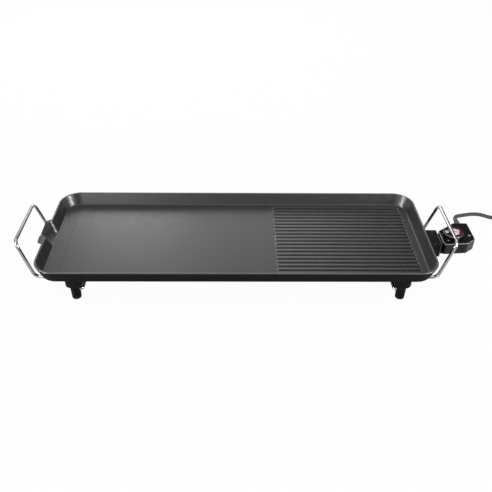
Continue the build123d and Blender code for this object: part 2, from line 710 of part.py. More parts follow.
def front_ridges(bottom, top):
    """Upright grip ridges on the front face, as one sketch and its height."""
    slope = CASE_FRONT_SKEW / (CASE_RIGHT - CASE_CHAMFER_X - CASE_LEFT - CASE_SHOULDER_X)
    with BuildSketch(level(0, 0, bottom)) as ridges:
        for k in range(RIDGE_COUNT):
            x = RIDGE_MIDDLE + (k - (RIDGE_COUNT - 1) / 2) * RIDGE_PITCH
            y = -CASE_FRONT + slope * (x - CASE_LEFT - CASE_SHOULDER_X)
            with Locations((x, y)):
                Circle(RIDGE / 2)
    return ridges.sketch, top - bottom


nose_bottom = SOCKET_BOTTOM + SOCKET_WALL + NOSE_ROOM
nose_top = SOCKET_TOP - SOCKET_WALL - NOSE_ROOM
nose_width = SOCKET_WIDTH - 2 * (SOCKET_WALL + NOSE_ROOM)
nose_corner = SOCKET_CORNER - NOSE_ROOM
case_screw_spots = [(CASE_LEFT + along, across) for along, across in CASE_SCREW_SPOTS]
with BuildPart() as control_lower_case:
    extrude(case_section(CASE_SKIRT, 0), amount=CASE_PARTING - CASE_SKIRT)
    loft([case_section(CASE_BOTTOM, CASE_BELLY), case_section(CASE_SKIRT, 0)], ruled=True)
    with BuildSketch(facing_right(NOSE_BACK, 0, (nose_bottom + nose_top) / 2)):
        RectangleRounded(nose_width, nose_top - nose_bottom, nose_corner)
    extrude(amount=CASE_LEFT - NOSE_BACK)
    ridges, ridge_height = front_ridges(CASE_SKIRT + RIDGE_MARGIN, CASE_PARTING)
    extrude(ridges, amount=ridge_height)
    extrude(case_section(CASE_SKIRT, CASE_WALL), amount=CASE_PARTING - CASE_SKIRT, mode=Mode.SUBTRACT)
    loft(
        [case_section(INNER_FLOOR, CASE_BELLY + CASE_WALL), case_section(CASE_SKIRT, CASE_WALL)],
        ruled=True,
        mode=Mode.SUBTRACT,
    )
    with BuildSketch(facing_right(CASE_LEFT, 0, (CASE_BOTTOM + CASE_PARTING) / 2)):
        Rectangle(nose_width, CASE_PARTING - CASE_BOTTOM)
    extrude(amount=NOSE_HOLD)
    with BuildSketch(facing_right(NOSE_BACK, 0, AXIS_Z)):
        Circle(PROBE / 2 + SNUG)
    extrude(amount=PROBE_BACK + SNUG - NOSE_BACK, mode=Mode.SUBTRACT)
    with BuildSketch(facing_right(NOSE_BACK, 0, AXIS_Z)):
        with Locations((TERMINAL_Y, 0), (-TERMINAL_Y, 0)):
            Circle(SLEEVE / 2 + SNUG)
        with Locations((0, EARTH_Z - AXIS_Z)):
            Circle(EARTH_SLEEVE / 2 + SNUG)
    extrude(amount=CASE_LEFT + NOSE_HOLD - NOSE_BACK, mode=Mode.SUBTRACT)
    with BuildSketch(level(0, 0, INNER_FLOOR)):
        with Locations(*case_screw_spots):
            Circle(POST / 2)
    extrude(amount=CASE_PARTING - INNER_FLOOR)
    with BuildSketch(level(0, 0, CASE_BOTTOM)):
        with Locations(*case_screw_spots):
            Circle(CASE_SCREW / 2 + RUNNING)
    extrude(amount=CASE_PARTING - CASE_BOTTOM, mode=Mode.SUBTRACT)
    with BuildSketch(level(0, 0, CASE_BOTTOM)):
        with Locations(*case_screw_spots):
            Circle(CASE_SCREW_HEAD / 2 + RUNNING)
    extrude(amount=CASE_SCREW_HEAD_H, mode=Mode.SUBTRACT)
save(control_lower_case.part, "control_lower_case")

case_screw_top = INNER_ROOF - CASE_WALL
with BuildPart() as control_upper_case:
    extrude(case_section(CASE_PARTING, 0), amount=CASE_TOP - CASE_PARTING)
    fillet(control_upper_case.edges().group_by(Axis.Z)[-1], CASE_ROUND)
    ridges, ridge_height = front_ridges(CASE_PARTING, CASE_TOP - CASE_ROUND - RIDGE_MARGIN)
    extrude(ridges, amount=ridge_height)
    extrude(case_section(CASE_PARTING, CASE_WALL), amount=INNER_ROOF - CASE_PARTING, mode=Mode.SUBTRACT)
    with BuildSketch(level(0, 0, CASE_PARTING)):
        with Locations(*case_screw_spots):
            Circle(POST / 2)
    extrude(amount=INNER_ROOF - CASE_PARTING)
    with BuildSketch(level(0, 0, CASE_PARTING)):
        with Locations(*case_screw_spots):
            Circle(CASE_SCREW / 2 + SNUG)
    extrude(amount=case_screw_top - CASE_PARTING, mode=Mode.SUBTRACT)
    with BuildSketch(level(DIAL_X, DIAL_Y, INNER_ROOF)):
        Circle(SPINDLE / 2 + SPINDLE_ROOM)
    extrude(amount=CASE_WALL, mode=Mode.SUBTRACT)
    with BuildSketch(level(LENS_X, LENS_Y, INNER_ROOF)):
        RectangleRounded(LENS_LENGTH + 2 * SNUG, LENS_WIDTH + 2 * SNUG, LENS_WIDTH / 3)
    extrude(amount=CASE_WALL, mode=Mode.SUBTRACT)
    with BuildSketch(facing_back(BOOT_X, CASE_BACK, BOOT_Z)):
        Circle(BOOT_NECK / 2 + SNUG)
    extrude(amount=-CASE_WALL, mode=Mode.SUBTRACT)
    with BuildSketch(facing_right(CASE_LEFT, 0, EARTH_Z)):
        Circle(EARTH_SLEEVE / 2 + SNUG)
    extrude(amount=NOSE_HOLD, mode=Mode.SUBTRACT)
save(control_upper_case.part, "control_upper_case")

with BuildPart() as case_screws:
    screw_seat = CASE_BOTTOM + CASE_SCREW_HEAD_H
    with BuildSketch(level(0, 0, screw_seat)):
        with Locations(*case_screw_spots):
            Circle(CASE_SCREW_HEAD / 2)
    extrude(amount=-CASE_SCREW_HEAD_H + RUNNING)
    with BuildSketch(level(0, 0, screw_seat)):
        with Locations(*case_screw_spots):
            Circle(CASE_SCREW / 2)
    extrude(amount=case_screw_top - SNUG - screw_seat)
save(case_screws.part, "case_screws")

# Contacts in the nose, and the probe that reaches under the plate
with BuildPart() as contact_sleeves:
    with BuildSketch(facing_right(NOSE_BACK + SLEEVE_INSET, 0, AXIS_Z)):
        with Locations((TERMINAL_Y, 0), (-TERMINAL_Y, 0)):
            Circle(SLEEVE / 2)
            Circle(PIN / 2 + RUNNING, mode=Mode.SUBTRACT)
    extrude(amount=SLEEVE_BACK - NOSE_BACK - SLEEVE_INSET)
save(contact_sleeves.part, "contact_sleeves")

with BuildPart() as earth_sleeve:
    with BuildSketch(facing_right(NOSE_BACK + SLEEVE_INSET, 0, EARTH_Z)):
        Circle(EARTH_SLEEVE / 2)
        Circle(EARTH_PIN / 2 + RUNNING, mode=Mode.SUBTRACT)
    extrude(amount=SLEEVE_BACK - NOSE_BACK - SLEEVE_INSET)
save(earth_sleeve.part, "earth_sleeve")

with BuildPart() as temperature_probe:
    with BuildSketch(facing_right(PROBE_TIP, 0, AXIS_Z)):
        Circle(PROBE / 2)
    extrude(amount=PROBE_BACK - PROBE_TIP)
    fillet(temperature_probe.edges().group_by(Axis.X)[0], PROBE / 3)
save(temperature_probe.part, "temperature_probe")

# Thermostat works: a bent sheet frame, a threaded bush, a stack of insulators and two contact leaves
frame_right = CASE_LEFT + FRAME_AT + FRAME_LENGTH
frame_mid_x = frame_right - FRAME_LENGTH / 2
with BuildPart() as thermostat_frame:
    with BuildSketch(level(frame_mid_x, DIAL_Y, INNER_FLOOR)):
        Rectangle(FRAME_LENGTH, FRAME_WIDTH)
    extrude(amount=SHEET)
    with BuildSketch(level(frame_right - SHEET / 2, DIAL_Y, INNER_FLOOR)):
        Rectangle(SHEET, FRAME_WIDTH)
    extrude(amount=BRIDGE_Z + SHEET - INNER_FLOOR)
    with BuildSketch(level(frame_mid_x, DIAL_Y, BRIDGE_Z)):
        Rectangle(FRAME_LENGTH, FRAME_WIDTH)
    extrude(amount=SHEET)
    with BuildSketch(level(DIAL_X, DIAL_Y, BRIDGE_Z)):
        Circle(BUSH / 2)
    extrude(amount=SHEET, mode=Mode.SUBTRACT)
save(thermostat_frame.part, "thermostat_frame")

with BuildPart() as spindle_bush:
    with BuildSketch(level(DIAL_X, DIAL_Y, BUSH_BOTTOM)):
        Circle(BUSH / 2)
    extrude(amount=BUSH_TOP - BUSH_BOTTOM)
    with BuildSketch(level(DIAL_X, DIAL_Y, BUSH_BOTTOM)):
        Circle(SPINDLE / 2 + SPINDLE_FIT)
    extrude(amount=BUSH_TOP - BUSH_BOTTOM, mode=Mode.SUBTRACT)
save(spindle_bush.part, "spindle_bush")

stack_mid_x = STACK_LEFT + STACK_LENGTH / 2
stack_floors = (BASE_TOP, LEAF_LOW + LEAF, LEAF_HIGH + LEAF)
stack_roofs = (LEAF_LOW, LEAF_HIGH, STACK_TOP)
with BuildPart() as contact_insulators:
    for floor, roof in zip(stack_floors, stack_roofs):
        with BuildSketch(level(stack_mid_x, DIAL_Y, floor)):
            Rectangle(STACK_LENGTH, STACK_WIDTH)
        extrude(amount=roof - floor)
save(contact_insulators.part, "contact_insulators")

leaf_right = STACK_LEFT + STACK_LENGTH
leaf_mid_x = (LEAF_LEFT + leaf_right) / 2
contact_x = LEAF_LEFT + CONTACT
contact_mid = (LEAF_LOW + LEAF + LEAF_HIGH) / 2
with BuildPart() as contact_leaf_lower:
    with BuildSketch(level(leaf_mid_x, DIAL_Y, LEAF_LOW)):
        Rectangle(leaf_right - LEAF_LEFT, LEAF_WIDTH)
    extrude(amount=LEAF)
    with BuildSketch(level(contact_x, DIAL_Y, LEAF_LOW + LEAF)):
        Circle(CONTACT / 2)
    extrude(amount=contact_mid - CONTACT_GAP / 2 - LEAF_LOW - LEAF)
save(contact_leaf_lower.part, "contact_leaf_lower")

with BuildPart() as contact_leaf_upper:
    with BuildSketch(level(leaf_mid_x, DIAL_Y, LEAF_HIGH)):
        Rectangle(leaf_right - LEAF_LEFT, LEAF_WIDTH)
    extrude(amount=LEAF)
    with BuildSketch(level(contact_x, DIAL_Y, LEAF_HIGH)):
        Circle(CONTACT / 2)
    extrude(amount=contact_mid + CONTACT_GAP / 2 - LEAF_HIGH)
save(contact_leaf_upper.part, "contact_leaf_upper")

# Pilot lamp: a clear window in the case with a small glass lamp against its underside
lens_bottom = INNER_ROOF - LENS_FLANGE
with BuildPart() as pilot_lens:
    with BuildSketch(level(LENS_X, LENS_Y, lens_bottom)):
        RectangleRounded(LENS_LENGTH + 2 * LENS_FLANGE, LENS_WIDTH + 2 * LENS_FLANGE, LENS_WIDTH / 3)
    extrude(amount=LENS_FLANGE)
    with BuildSketch(level(LENS_X, LENS_Y, INNER_ROOF)):
        RectangleRounded(LENS_LENGTH, LENS_WIDTH, LENS_WIDTH / 3)
    extrude(amount=CASE_WALL + LENS_PROUD)
    fillet(pilot_lens.edges().group_by(Axis.Z)[-1], LENS_PROUD / 2)
save(pilot_lens.part, "pilot_lens")

with BuildPart() as pilot_lamp:
    with BuildSketch(facing_back(LENS_X, LENS_Y - LAMP_LENGTH / 2, lens_bottom - LAMP / 2)):
        Circle(LAMP / 2)
    extrude(amount=LAMP_LENGTH)
    fillet(pilot_lamp.edges().group_by(Axis.Y)[0], LAMP / 4)
save(pilot_lamp.part, "pilot_lamp")

# Dial: a round knob with a low grip bar, keyed to its spindle by a flat
dial_bottom = CASE_TOP + DIAL_GAP
grip_floor = DIAL_TOP - DIAL_GRIP_HEIGHT
with BuildPart() as dial_knob:
    with BuildSketch(level(DIAL_X, DIAL_Y, dial_bottom)):
        Circle(DIAL / 2)
    extrude(amount=grip_floor - dial_bottom)
    fillet(dial_knob.edges().group_by(Axis.Z)[-1], DIAL_EDGE)
    with BuildSketch(level(DIAL_X, DIAL_Y, grip_floor)):
        SlotOverall(DIAL_GRIP_LENGTH, DIAL_GRIP_WIDTH)
    extrude(amount=DIAL_GRIP_HEIGHT, taper=DIAL_GRIP_TAPER)
    fillet(dial_knob.edges().group_by(Axis.Z)[-1], DIAL_GRIP_HEIGHT / 4)
    with BuildSketch(level(DIAL_X, DIAL_Y, dial_bottom)):
        Circle(SPINDLE / 2 + SPINDLE_FIT)
        with Locations((0, SPINDLE - SPINDLE_FLAT + SPINDLE_FIT)):
            Rectangle(SPINDLE * 2, SPINDLE, mode=Mode.SUBTRACT)
    extrude(amount=SPINDLE_TOP + DIAL_GAP - dial_bottom, mode=Mode.SUBTRACT)
save(dial_knob.part, "dial_knob")

with BuildPart() as dial_spindle:
    with BuildSketch(level(DIAL_X, DIAL_Y, SPINDLE_BOTTOM)):
        Circle(SPINDLE / 2)
    extrude(amount=CASE_TOP - SPINDLE_BOTTOM)
    with BuildSketch(level(DIAL_X, DIAL_Y, CASE_TOP)):
        Circle(SPINDLE / 2)
        with Locations((0, SPINDLE - SPINDLE_FLAT)):
            Rectangle(SPINDLE * 2, SPINDLE, mode=Mode.SUBTRACT)
    extrude(amount=SPINDLE_TOP - CASE_TOP)
save(dial_spindle.part, "dial_spindle")

# Cord: out of a moulded boot, down to the table, then a tied coil, a tail and the mains plug
with BuildPart() as cord_boot:
    with BuildSketch(facing_back(BOOT_X, CASE_BACK, BOOT_Z)):
        Circle(BOOT_ROOT / 2)
    with BuildSketch(facing_back(BOOT_X, CASE_BACK + BOOT_LENGTH, BOOT_Z)):
        Circle(BOOT_TIP / 2)
    loft()
    with BuildSketch(facing_back(BOOT_X, CASE_BACK - CASE_WALL, BOOT_Z)):
        Circle(BOOT_NECK / 2)
    extrude(amount=CASE_WALL)
    with BuildSketch(facing_back(BOOT_X, CASE_BACK - CASE_WALL, BOOT_Z)):
        RectangleRounded(BOOT_FLANGE_WIDTH, BOOT_FLANGE_HEIGHT, CASE_CORNER)
    extrude(amount=-BOOT_FLANGE_THICK)
save(cord_boot.part, "cord_boot")


def bend_radii(points):
    """The largest arc that the two runs at each inner point leave room for."""
    radii = []
    for before, here, after in zip(points, points[1:], points[2:]):
        run_in = Vector(here) - Vector(before)
        run_out = Vector(after) - Vector(here)
        turn = math.radians(run_in.get_angle(run_out))
        radii.append(0.45 * min(run_in.length, run_out.length) / math.tan(turn / 2))
    return radii


def cord_tube(points, name):
    """A tube along straight runs joined by tangent arcs; returns its length."""
    radii = bend_radii(points)
    with BuildPart() as tube:
        with BuildLine() as route:
            FilletPolyline(*points, radius=radii)
        with BuildSketch(Plane(route.line @ 0, z_dir=route.line % 0)):
            Circle(CORD / 2)
        sweep(path=route.line)
    length = sum(edge.length for edge in route.edges())
    share = tube.part.volume / (math.pi * CORD**2 / 4 * length)
    print(name, "radii", [round(r, 1) for r in radii])
    print(name, "length", round(length, 1), "volume share", round(share, 4))
    save(tube.part, name)
    return length


coil_upper = COIL_Z + COIL_LAYER
boot_end = CASE_BACK + BOOT_LENGTH
# Each step of the lead: its share of the way along, of the way back, and of the height left to fall
lead_steps = (
    (0.0, 0.0, 1.0),
    (0.0, 0.115, 1.0),
    (0.027, 0.222, 0.98),
    (0.098, 0.325, 0.888),
    (0.21, 0.485, 0.736),
    (0.345, 0.69, 0.522),
    (0.5, 0.887, 0.25),
    (0.669, 0.985, -0.026),
    (0.85, 1.0, 0.0),
    (1.0, 1.0, 0.0),
)
lead_along = COIL_X - CORD - BOOT_X
lead_back = COIL_Y + COIL_RADIUS - boot_end
lead_points = []
for along, back, height in lead_steps:
    lead_points.append(
        at(BOOT_X + along * lead_along, boot_end + back * lead_back, COIL_Z + height * (BOOT_Z - COIL_Z))
    )
lead_length = cord_tube(lead_points, "cord_lead")

# The coil is one tube of half turns: in along the lower layer, up in one half turn, out along the upper
coil_radii = [COIL_RADIUS - k * COIL_STEP / 2 for k in range(COIL_IN + 1)]
coil_radii += [coil_radii[-1] + k * COIL_STEP / 2 for k in range(COIL_OUT + 1)]
coil_joints = []
for k, radius in enumerate(coil_radii):
    side = 1 if k % 2 == 0 else -1
    coil_joints.append(Vector(at(COIL_X, COIL_Y + side * radius, COIL_Z if k <= COIL_IN else coil_upper)))
coil_start = coil_joints[0] - Vector(CORD, 0, 0)
last_side = 1 if len(coil_joints) % 2 == 1 else -1
coil_stop = coil_joints[-1] + Vector(last_side * CORD, 0, 0)
with BuildPart() as cord_coil:
    with BuildLine() as coil_line:
        Line(coil_start, coil_joints[0])
        for k, (begin, end) in enumerate(zip(coil_joints, coil_joints[1:])):
            side = 1 if k % 2 == 0 else -1
            middle = (begin + end) / 2 + Vector(side * (end - begin).length / 2, 0, 0)
            ThreePointArc(begin, middle, end)
        Line(coil_joints[-1], coil_stop)
    with BuildSketch(Plane(coil_start, z_dir=(1, 0, 0))):
        Circle(CORD / 2)
    sweep(path=coil_line.line)
coil_length = sum(edge.length for edge in coil_line.edges())
coil_share = cord_coil.part.volume / (math.pi * CORD**2 / 4 * coil_length)
sample_count = 600
samples = [coil_line.line @ (k / sample_count) for k in range(sample_count + 1)]
apart = int(math.pi * CORD / coil_length * sample_count) + 1
least_gap = min(
    (samples[i] - samples[j]).length - CORD
    for i in range(len(samples))
    for j in range(i + apart, len(samples))
)
print("cord_coil length", round(coil_length, 1), "volume share", round(coil_share, 4))
print("cord_coil least gap", round(least_gap, 2))
save(cord_coil.part, "cord_coil")

plug_axis = PLUG_FACE / 2
tail_x = COIL_X + 1.39 * COIL_RADIUS
plug_start = COIL_Y - 1.07 * COIL_RADIUS
tail_points = [
    tuple(coil_stop),
    tuple(coil_stop + Vector(0.27 * COIL_RADIUS, 0, 0)),
    at(COIL_X + 0.74 * COIL_RADIUS, COIL_Y + 0.99 * COIL_RADIUS, COIL_Z + 0.75 * COIL_LAYER),
    at(COIL_X + 1.07 * COIL_RADIUS, COIL_Y + 0.76 * COIL_RADIUS, COIL_Z + 0.3 * COIL_LAYER),
    at(COIL_X + 1.29 * COIL_RADIUS, COIL_Y + 0.4 * COIL_RADIUS, COIL_Z),
    at(COIL_X + 1.37 * COIL_RADIUS, COIL_Y - 0.02 * COIL_RADIUS, COIL_Z),
    at(tail_x, COIL_Y - 0.39 * COIL_RADIUS, COIL_Z + 0.33 * (plug_axis - COIL_Z)),
    at(tail_x, COIL_Y - 0.74 * COIL_RADIUS, plug_axis),
    at(tail_x, plug_start, plug_axis),
]
tail_length = cord_tube(tail_points, "cord_tail")
print("cord length", round(lead_length + coil_length + tail_length, 1))

# A band ties the coil at its near side
near_turns = [joint.Y for k, joint in enumerate(coil_joints) if k % 2 == 1]
tie_low = min(near_turns) - CORD / 2 - TIE_ROOM
tie_high = max(near_turns) + CORD / 2 + TIE_ROOM
tie_bottom = COIL_Z - CORD / 2 - TIE_ROOM
tie_top = coil_upper + CORD / 2 + TIE_ROOM
with BuildPart() as cord_tie:
    tie_plane = facing_right(COIL_X - TIE_BAND / 2, (tie_low + tie_high) / 2, (tie_bottom + tie_top) / 2)
    with BuildSketch(tie_plane):
        RectangleRounded(
            tie_high - tie_low + 2 * TIE_SHEET, tie_top - tie_bottom + 2 * TIE_SHEET, CORD / 3 + TIE_SHEET
        )
        RectangleRounded(tie_high - tie_low, tie_top - tie_bottom, CORD / 3, mode=Mode.SUBTRACT)
    extrude(amount=TIE_BAND)
save(cord_tie.part, "cord_tie")

# Mains plug, lying on its round face's edge, with two pins and two earth clips
plug_back = plug_start - PLUG_BOOT_LENGTH
plug_front = plug_back - PLUG_LENGTH


def facing_plug(y):
    """A plane across the plug's axis, facing the way its pins point."""
    return Plane(at(tail_x, y, plug_axis), x_dir=(1, 0, 0), z_dir=(0, -1, 0))


with BuildPart() as plug_boot:
    with BuildSketch(facing_plug(plug_start)):
        Circle(BOOT_TIP / 2)
    with BuildSketch(facing_plug(plug_back)):
        Circle(PLUG_NECK / 2 - CASE_ROUND)
    loft()
save(plug_boot.part, "plug_boot")

clip_radius = PLUG_FACE / 2 - 2 * CLIP_SHEET
with BuildPart() as plug_body:
    with BuildSketch(facing_plug(plug_back)):
        Circle(PLUG_NECK / 2)
    with BuildSketch(facing_plug(plug_back - PLUG_LENGTH / 2)):
        Circle(PLUG_FACE / 2)
    loft()
    with BuildSketch(facing_plug(plug_back - PLUG_LENGTH / 2)):
        Circle(PLUG_FACE / 2)
    extrude(amount=PLUG_LENGTH / 2)
    fillet(plug_body.edges().group_by(Axis.Y)[0], CASE_ROUND)
    with BuildSketch(facing_plug(plug_front)):
        with Locations((0, PLUG_FACE / 2), (0, -PLUG_FACE / 2)):
            Rectangle(CLIP_WIDTH + 2 * SNUG, 2 * (PLUG_FACE / 2 - clip_radius))
    extrude(amount=-CLIP_LENGTH - SNUG, mode=Mode.SUBTRACT)
    with BuildSketch(facing_plug(plug_front)):
        with Locations((PLUG_PIN_PITCH / 2, 0), (-PLUG_PIN_PITCH / 2, 0)):
            Circle(PLUG_PIN / 2 + SNUG)
    extrude(amount=-PLUG_PIN_LENGTH / 2, mode=Mode.SUBTRACT)
save(plug_body.part, "plug_body")

with BuildPart() as plug_pins:
    with BuildSketch(facing_plug(plug_front + PLUG_PIN_LENGTH / 2)):
        with Locations((PLUG_PIN_PITCH / 2, 0), (-PLUG_PIN_PITCH / 2, 0)):
            Circle(PLUG_PIN / 2)
    extrude(amount=PLUG_PIN_LENGTH * 1.5)
    fillet(plug_pins.edges().group_by(Axis.Y)[0], PLUG_PIN / 3)
save(plug_pins.part, "plug_pins")

with BuildPart() as plug_earth_clips:
    with BuildSketch(facing_plug(plug_front)):
        with Locations((0, clip_radius + CLIP_SHEET / 2), (0, -clip_radius - CLIP_SHEET / 2)):
            Rectangle(CLIP_WIDTH, CLIP_SHEET)
    extrude(amount=-CLIP_LENGTH)
save(plug_earth_clips.part, "plug_earth_clips")
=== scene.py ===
import json
import math

import bmesh
import bpy
from bpy.props import FloatProperty, FloatVectorProperty, IntProperty, PointerProperty
from bpy.types import Operator, Panel, PropertyGroup
from mathutils import Matrix, Vector

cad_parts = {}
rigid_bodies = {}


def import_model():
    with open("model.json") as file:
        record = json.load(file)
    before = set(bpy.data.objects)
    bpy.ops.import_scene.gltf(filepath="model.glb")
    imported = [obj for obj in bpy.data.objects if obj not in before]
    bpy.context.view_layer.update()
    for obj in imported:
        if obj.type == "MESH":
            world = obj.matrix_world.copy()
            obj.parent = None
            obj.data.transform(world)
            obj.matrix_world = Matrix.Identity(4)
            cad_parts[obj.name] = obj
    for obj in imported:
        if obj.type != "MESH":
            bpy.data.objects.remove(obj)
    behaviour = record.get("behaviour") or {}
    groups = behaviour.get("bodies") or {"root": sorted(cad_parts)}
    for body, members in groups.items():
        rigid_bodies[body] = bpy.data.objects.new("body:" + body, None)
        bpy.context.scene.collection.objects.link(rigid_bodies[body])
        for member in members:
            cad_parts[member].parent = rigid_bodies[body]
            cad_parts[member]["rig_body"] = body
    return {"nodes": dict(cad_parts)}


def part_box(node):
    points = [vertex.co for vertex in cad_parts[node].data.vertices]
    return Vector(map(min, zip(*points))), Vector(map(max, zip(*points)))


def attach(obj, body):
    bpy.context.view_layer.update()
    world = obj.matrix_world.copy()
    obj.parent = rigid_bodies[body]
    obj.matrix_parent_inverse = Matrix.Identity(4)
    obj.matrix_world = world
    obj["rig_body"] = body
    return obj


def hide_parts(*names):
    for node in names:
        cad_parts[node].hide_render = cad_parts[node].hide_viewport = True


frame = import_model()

bl_info = {
    "name": "Electric Griddle",
    "version": (1, 0, 0),
    "blender": (4, 5, 0),
    "location": "View3D > Sidebar > Griddle",
    "description": "Dresses the packed griddle with its finishes, its cord and a plain stage",
    "category": "Object",
}

MM = 0.001
SHARP_EDGE = math.radians(32)
MERGE = 0.000002

# Shares of the coating's colour lightened to pale grey: painted highlights at the rim and on the crests of
# the ribs, and painted light in their grooves
RIM_PAINTED_HIGHLIGHT = 0.8
CREST_PAINTED_HIGHLIGHT = 0.7
GROOVE_PAINTED_LIGHT = 0.12
# Share of that painted highlight at the ribs' right end, added gloss at their left end, and the painted
# highlight's reach to the back
RIGHT_END_HIGHLIGHT = 0.3
RIB_GLOSS = 0.5
HIGHLIGHT_DEPTH = (0.2, 0.45)
# Share of the socket's open end that is lightened grey as a painted highlight
SOCKET_PAINTED_HIGHLIGHT = 0.7
# Roughness of the coating on the flat zone and on the ribs, and the strength of its speckle
FLAT_ROUGHNESS = (0.29, 0.43)
RIB_ROUGHNESS = (0.2, 0.27)
SPECK_STRENGTH = 0.3

# Limits of the upward part of a face's normal on the rounded edges of the case and the dial, which are
# painted a lighter grey as a highlight
CASE_EDGE = (0.1, 0.985)
DIAL_EDGE = (0.2, 0.95)
# Limits of a normal that faces down, and of one that faces left
FACES_DOWN = -0.6
FACES_LEFT = -0.7

# Directions between which the studio's ceiling and its two sides begin and are full
CEILING = (0.25, 0.9)
RIGHT_SIDE = (0.15, 0.36)
LEFT_SIDE = (-0.75, -0.5)
FLOOR_DROP = 0.0002

# Angles of the dial's printed marks to either side of its right, in radians
HOT_MARKS = (0.22, 1.15)
OFF_MARK = (2.86, 3.2)
INDEX_HEIGHT = 0.00012
INDEX_SINK = 0.00004


def linear(code):
    """An sRGB hex colour as linear RGBA."""
    channels = []
    for start in (1, 3, 5):
        value = int(code[start:start + 2], 16) / 255
        channels.append(value / 12.92 if value <= 0.04045 else ((value + 0.055) / 1.055) ** 2.4)
    return (*channels, 1.0)


def pair(dark, light):
    """Two sRGB hex colours as linear RGBA."""
    return linear(dark), linear(light)


def per_mm(size):
    """The texture scale at which one feature is about this many millimetres wide."""
    return 1 / (size * MM)


def add_node(tree, kind, settings=None, values=None, links=None):
    """Add a shader node, set its options and input values, and link other nodes' outputs to its inputs."""
    node = tree.nodes.new(kind)
    for key, value in (settings or {}).items():
        setattr(node, key, value)
    for key, value in (values or {}).items():
        node.inputs[key].default_value = value
    for key, socket in (links or {}).items():
        tree.links.new(socket, node.inputs[key])
    return node


def start_finish(name, values):
    """A new material with one surface shader, as (material, node tree, shader, Object coordinates)."""
    material = bpy.data.materials.new(name)
    material.use_nodes = True
    tree = material.node_tree
    tree.nodes.clear()
    shader = add_node(tree, "ShaderNodeBsdfPrincipled", values=values)
    add_node(tree, "ShaderNodeOutputMaterial", links={"Surface": shader.outputs["BSDF"]})
    place = add_node(tree, "ShaderNodeTexCoord").outputs["Object"]
    return material, tree, shader, place


def grain(tree, shader, place, colours, grain_mm, mottle_mm, depth_mm, roughness=None):
    """Link a mottled colour, a fine raised grain and, if given, an uneven roughness to a shader."""
    mottle = add_node(
        tree, "ShaderNodeTexNoise",
        values={"Scale": per_mm(mottle_mm), "Detail": 4.0},
        links={"Vector": place},
    ).outputs["Fac"]
    tint = add_node(
        tree, "ShaderNodeMix",
        settings={"data_type": "RGBA"},
        values={6: colours[0], 7: colours[1]},
        links={0: mottle},
    ).outputs[2]
    tree.links.new(tint, shader.inputs["Base Color"])
    fine = add_node(
        tree, "ShaderNodeTexNoise",
        values={"Scale": per_mm(grain_mm), "Detail": 3.0},
        links={"Vector": place},
    ).outputs["Fac"]
    if roughness:
        shine = add_node(
            tree, "ShaderNodeMapRange",
            values={"From Min": 0.3, "From Max": 0.7, "To Min": roughness[0], "To Max": roughness[1]},
            links={"Value": fine},
        )
        tree.links.new(shine.outputs["Result"], shader.inputs["Roughness"])
    bump = add_node(
        tree, "ShaderNodeBump",
        values={"Strength": 0.5, "Distance": depth_mm * MM},
        links={"Height": fine},
    )
    tree.links.new(bump.outputs["Normal"], shader.inputs["Normal"])
    return tint, mottle, fine


def fade(tree, place, *steps, interpolation="LINEAR"):
    """A share that changes along the axes: the product of its steps (axis, low, high, before, after)."""
    parts = add_node(tree, "ShaderNodeSeparateXYZ", links={0: place})
    share = None
    for axis, low, high, before, after in steps:
        step = add_node(
            tree, "ShaderNodeMapRange",
            settings={"interpolation_type": interpolation},
            values={"From Min": low, "From Max": high, "To Min": before, "To Max": after},
            links={"Value": parts.outputs[axis]},
        ).outputs["Result"]
        if share is None:
            share = step
            continue
        share = add_node(
            tree, "ShaderNodeMath",
            settings={"operation": "MULTIPLY"},
            links={0: share, 1: step},
        ).outputs[0]
    return share


